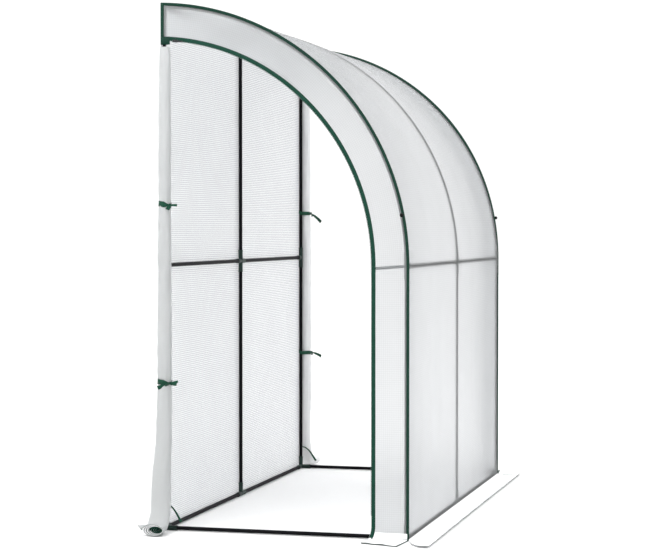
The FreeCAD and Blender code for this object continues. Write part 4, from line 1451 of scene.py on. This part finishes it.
# Guy toggles. A black ball on a webbing loop sewn under each arch's binding, where a
# guy line can be hooked on.
toggle_low, toggle_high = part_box("guy_toggles")
BALL_RADIUS = (toggle_high.z - toggle_low.z) / 2
BALL_CENTRE = np.array(
    [
        toggle_high.x - BALL_RADIUS,
        (toggle_low.y + toggle_high.y) / 2,
        (toggle_low.z + toggle_high.z) / 2,
    ]
)
# Moulded ABS: black and satin, with a little haze every 11 mm or so. Its real grain of
# 0.2 mm is drawn at 1 mm.
ball_plastic = clouded(
    "moulded_abs",
    ("#040505", "#0c0d0e"),
    cloud=(90.0, 2.0),
    looks={"Roughness": 0.45, "Specular IOR Level": 0.1},
    grain=(900.0, 1.0, 0.25, 0.0001),
)
# Webbing with a rib every 0.8 mm, drawn at 1.6 mm.
black_webbing = woven_tape("woven_nylon_webbing", "#060708", "#141517", 0.0016, 0.6, 0.03)
# Half the angle that the bore's mouth takes of the ball's outline.
BORE_TURN = 0.28
BALL_SIDES = 32
LOOP_WIDTH = 0.0034
LOOP_THICK = 0.0009
LOOP_HALF = 0.0012
LOOP_ROOT = BALL_CENTRE - OUTWARDS * (BALL_RADIUS + 0.0065)
# The far toggle has flopped forwards on its loop, round the loop's root.
TOGGLE_LEAN = {"near": 0.0, "far": 0.95}


def lean_over(points, turn):
    """Points turned about the upright line through the loop's root."""
    turned = np.array(
        [
            [math.cos(turn), math.sin(turn), 0],
            [-math.sin(turn), math.cos(turn), 0],
            [0, 0, 1],
        ]
    )
    return (points - LOOP_ROOT) @ turned.T + LOOP_ROOT


for end, side in ENDS:
    # The ball's outline is a half circle between the mouths of its bore, spun round X.
    turn = np.linspace(math.pi - BORE_TURN, BORE_TURN, 20)[None]
    spin = np.arange(BALL_SIDES)[:, None] * 2 * math.pi / BALL_SIDES
    ball = np.stack(
        [
            np.cos(turn) + 0 * spin,
            np.sin(turn) * np.cos(spin),
            np.sin(turn) * np.sin(spin),
        ],
        axis=-1,
    )
    mirror = np.array([side, 1, 1])
    ball = lean_over(BALL_RADIUS * ball + BALL_CENTRE, TOGGLE_LEAN[end]) * mirror
    spin_uv = np.arange(BALL_SIDES + 1)[:, None] * BALL_RADIUS / 5
    uv = np.stack([spin_uv + 0 * turn, BALL_RADIUS * turn + 0 * spin_uv], axis=-1)
    surface(
            f"toggle_ball_{end}", ball, uv, ball_plastic, around=True, flip=side < 0
        )
    # The loop goes out through the bore, over its outer mouth and back to the seam.
    mouth = BALL_CENTRE + OUTWARDS * (BALL_RADIUS + LOOP_HALF / 2)
    line = [
        LOOP_ROOT + UP * 0.006 - OUTWARDS * 0.001,
        LOOP_ROOT + UP * 0.002 + OUTWARDS * 0.003,
        BALL_CENTRE + UP * LOOP_HALF,
        mouth + UP * LOOP_HALF,
        mouth - UP * LOOP_HALF,
        BALL_CENTRE - UP * LOOP_HALF,
        LOOP_ROOT - UP * 0.002 + OUTWARDS * 0.003,
        LOOP_ROOT - UP * 0.006 - OUTWARDS * 0.001,
    ]
    path = lean_over(bezier(line, 40), TOGGLE_LEAN[end])
    flat = lean_over(LOOP_ROOT + np.array([0.0, 1.0, 0.0]), TOGGLE_LEAN[end])
    across = np.tile((flat - LOOP_ROOT) * mirror, (len(path), 1))
    webbing = tape(
        f"toggle_loop_{end}", path * mirror, across, LOOP_WIDTH, LOOP_THICK, black_webbing
    )
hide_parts("guy_toggles")


# Zip sliders and pulls. Die-cast zinc, lacquered black: the slider runs on the coil, and
# its pull swings on a pin between two lugs.
def lacquered_zinc():
    """Lacquered zinc: near-black and glossy, rubbed to grey in spots some 4 mm apart."""
    material, tree = empty_material("lacquered_zinc")
    place = add(tree, "TexCoord").outputs["Object"]
    rub = add(tree, "TexNoise", {"Vector": place, "Scale": 260.0, "Detail": 4.0})
    worn = add(
        tree,
        "MapRange",
        {"Value": rub.outputs["Fac"], "From Min": 0.62, "From Max": 0.74},
    )
    shade = add(
        tree,
        "Mix",
        {
            MIX_FACTOR: worn.outputs[0],
            MIX_A: linear("#111315"),
            MIX_B: linear("#6f7274"),
        },
        data_type="RGBA",
    )
    metal = add(
        tree,
        "BsdfPrincipled",
        {
            "Base Color": shade.outputs[MIX_RESULT],
            "Metallic": worn.outputs[0],
            "Roughness": 0.32,
        },
    )
    add(tree, "OutputMaterial", {"Surface": metal.outputs["BSDF"]})
    return material


zinc = lacquered_zinc()
for end, _ in ENDS:
    wear(frame["nodes"][f"zip_slider_{end}"], zinc)
    wear(frame["nodes"][f"zip_pull_{end}"], zinc)


# Studio. A pale paper floor, a white surround that is brightest overhead, a soft light on
# the near arch from the wall's side, a broad one high in front of the greenhouse, and the
# camera at the photograph's place.
FLOOR_HALF = 40.0
floor_mesh = bpy.data.meshes.new("floor")
floor_mesh.from_pydata(
    [
        (-FLOOR_HALF, -FLOOR_HALF, 0),
        (FLOOR_HALF, -FLOOR_HALF, 0),
        (FLOOR_HALF, FLOOR_HALF, 0),
        (-FLOOR_HALF, FLOOR_HALF, 0),
    ],
    [],
    [(0, 1, 2, 3)],
)
floor = bpy.data.objects.new("floor", floor_mesh)
bpy.context.scene.collection.objects.link(floor)
# Paper whose fibres cloud every 25 mm or so, hardly darker than the rest.
paper = clouded(
    "matt_paper", ("#f1f1f1", "#f4f4f4"), cloud=(40.0, 3.0), looks={"Roughness": 0.9}
)
floor_mesh.materials.append(paper)

world = bpy.data.worlds.new("studio")
world.use_nodes = True
tree = world.node_tree
direction = add(tree, "TexCoord").outputs["Generated"]
# Brightest overhead and a little towards the wall's side, and just white at eye level.
BRIGHTEST_WAY = (0.0, 0.1, 0.99)
LEAST_BRIGHT = 0.52
MOST_BRIGHT = 1.56
toward = add(
    tree, "VectorMath", {0: direction, 1: BRIGHTEST_WAY}, operation="DOT_PRODUCT"
)
strength = add(
    tree,
    "MapRange",
    {
        "Value": toward.outputs["Value"],
        "From Min": -1.0,
        "To Min": LEAST_BRIGHT,
        "To Max": MOST_BRIGHT,
    },
)
background = tree.nodes["Background"]
background.inputs["Color"].default_value = (1, 1, 1, 1)
tree.links.new(strength.outputs[0], background.inputs["Strength"])
bpy.context.scene.world = world
bpy.context.scene.view_settings.view_transform = "Standard"


def soft_light(name, place, target, size, power):
    """A square area light that faces a point."""
    data = bpy.data.lights.new(name, "AREA")
    data.size = size
    data.energy = power
    made = bpy.data.objects.new(name, data)
    bpy.context.scene.collection.objects.link(made)
    made.location = place
    toward = Vector(target) - Vector(place)
    made.rotation_euler = toward.to_track_quat("-Z", "Y").to_euler()
    return made


soft_light("key", place=(-3.4, 0.8, 3.7), target=(-1.03, -0.3, 2.0), size=1.6, power=70)
soft_light("fill", place=(0.5, -4.5, 6.0), target=(0, -1.0, 0.0), size=4.0, power=120)

# The camera was fitted to the photograph's tube joints, its focal length in pixels.
CAMERA_PLACE = (-8.2284, -2.5993, 1.2261)
CAMERA_TURN = math.radians(14.896)
CAMERA_TILT = math.radians(-1.449)
SENSOR_WIDTH = 36.0
IMAGE_WIDTH = 650
FOCAL_PIXELS = 1887.5
camera_data = bpy.data.cameras.new("camera")
camera_data.sensor_width = SENSOR_WIDTH
camera_data.lens = FOCAL_PIXELS * SENSOR_WIDTH / IMAGE_WIDTH
camera_data.clip_end = 200
camera = bpy.data.objects.new("camera", camera_data)
bpy.context.scene.collection.objects.link(camera)
camera.location = CAMERA_PLACE
heading = Vector(
    (
        math.cos(CAMERA_TURN) * math.cos(CAMERA_TILT),
        math.sin(CAMERA_TURN) * math.cos(CAMERA_TILT),
        math.sin(CAMERA_TILT),
    )
)
camera.rotation_euler = heading.to_track_quat("-Z", "Y").to_euler()
bpy.context.scene.camera = camera
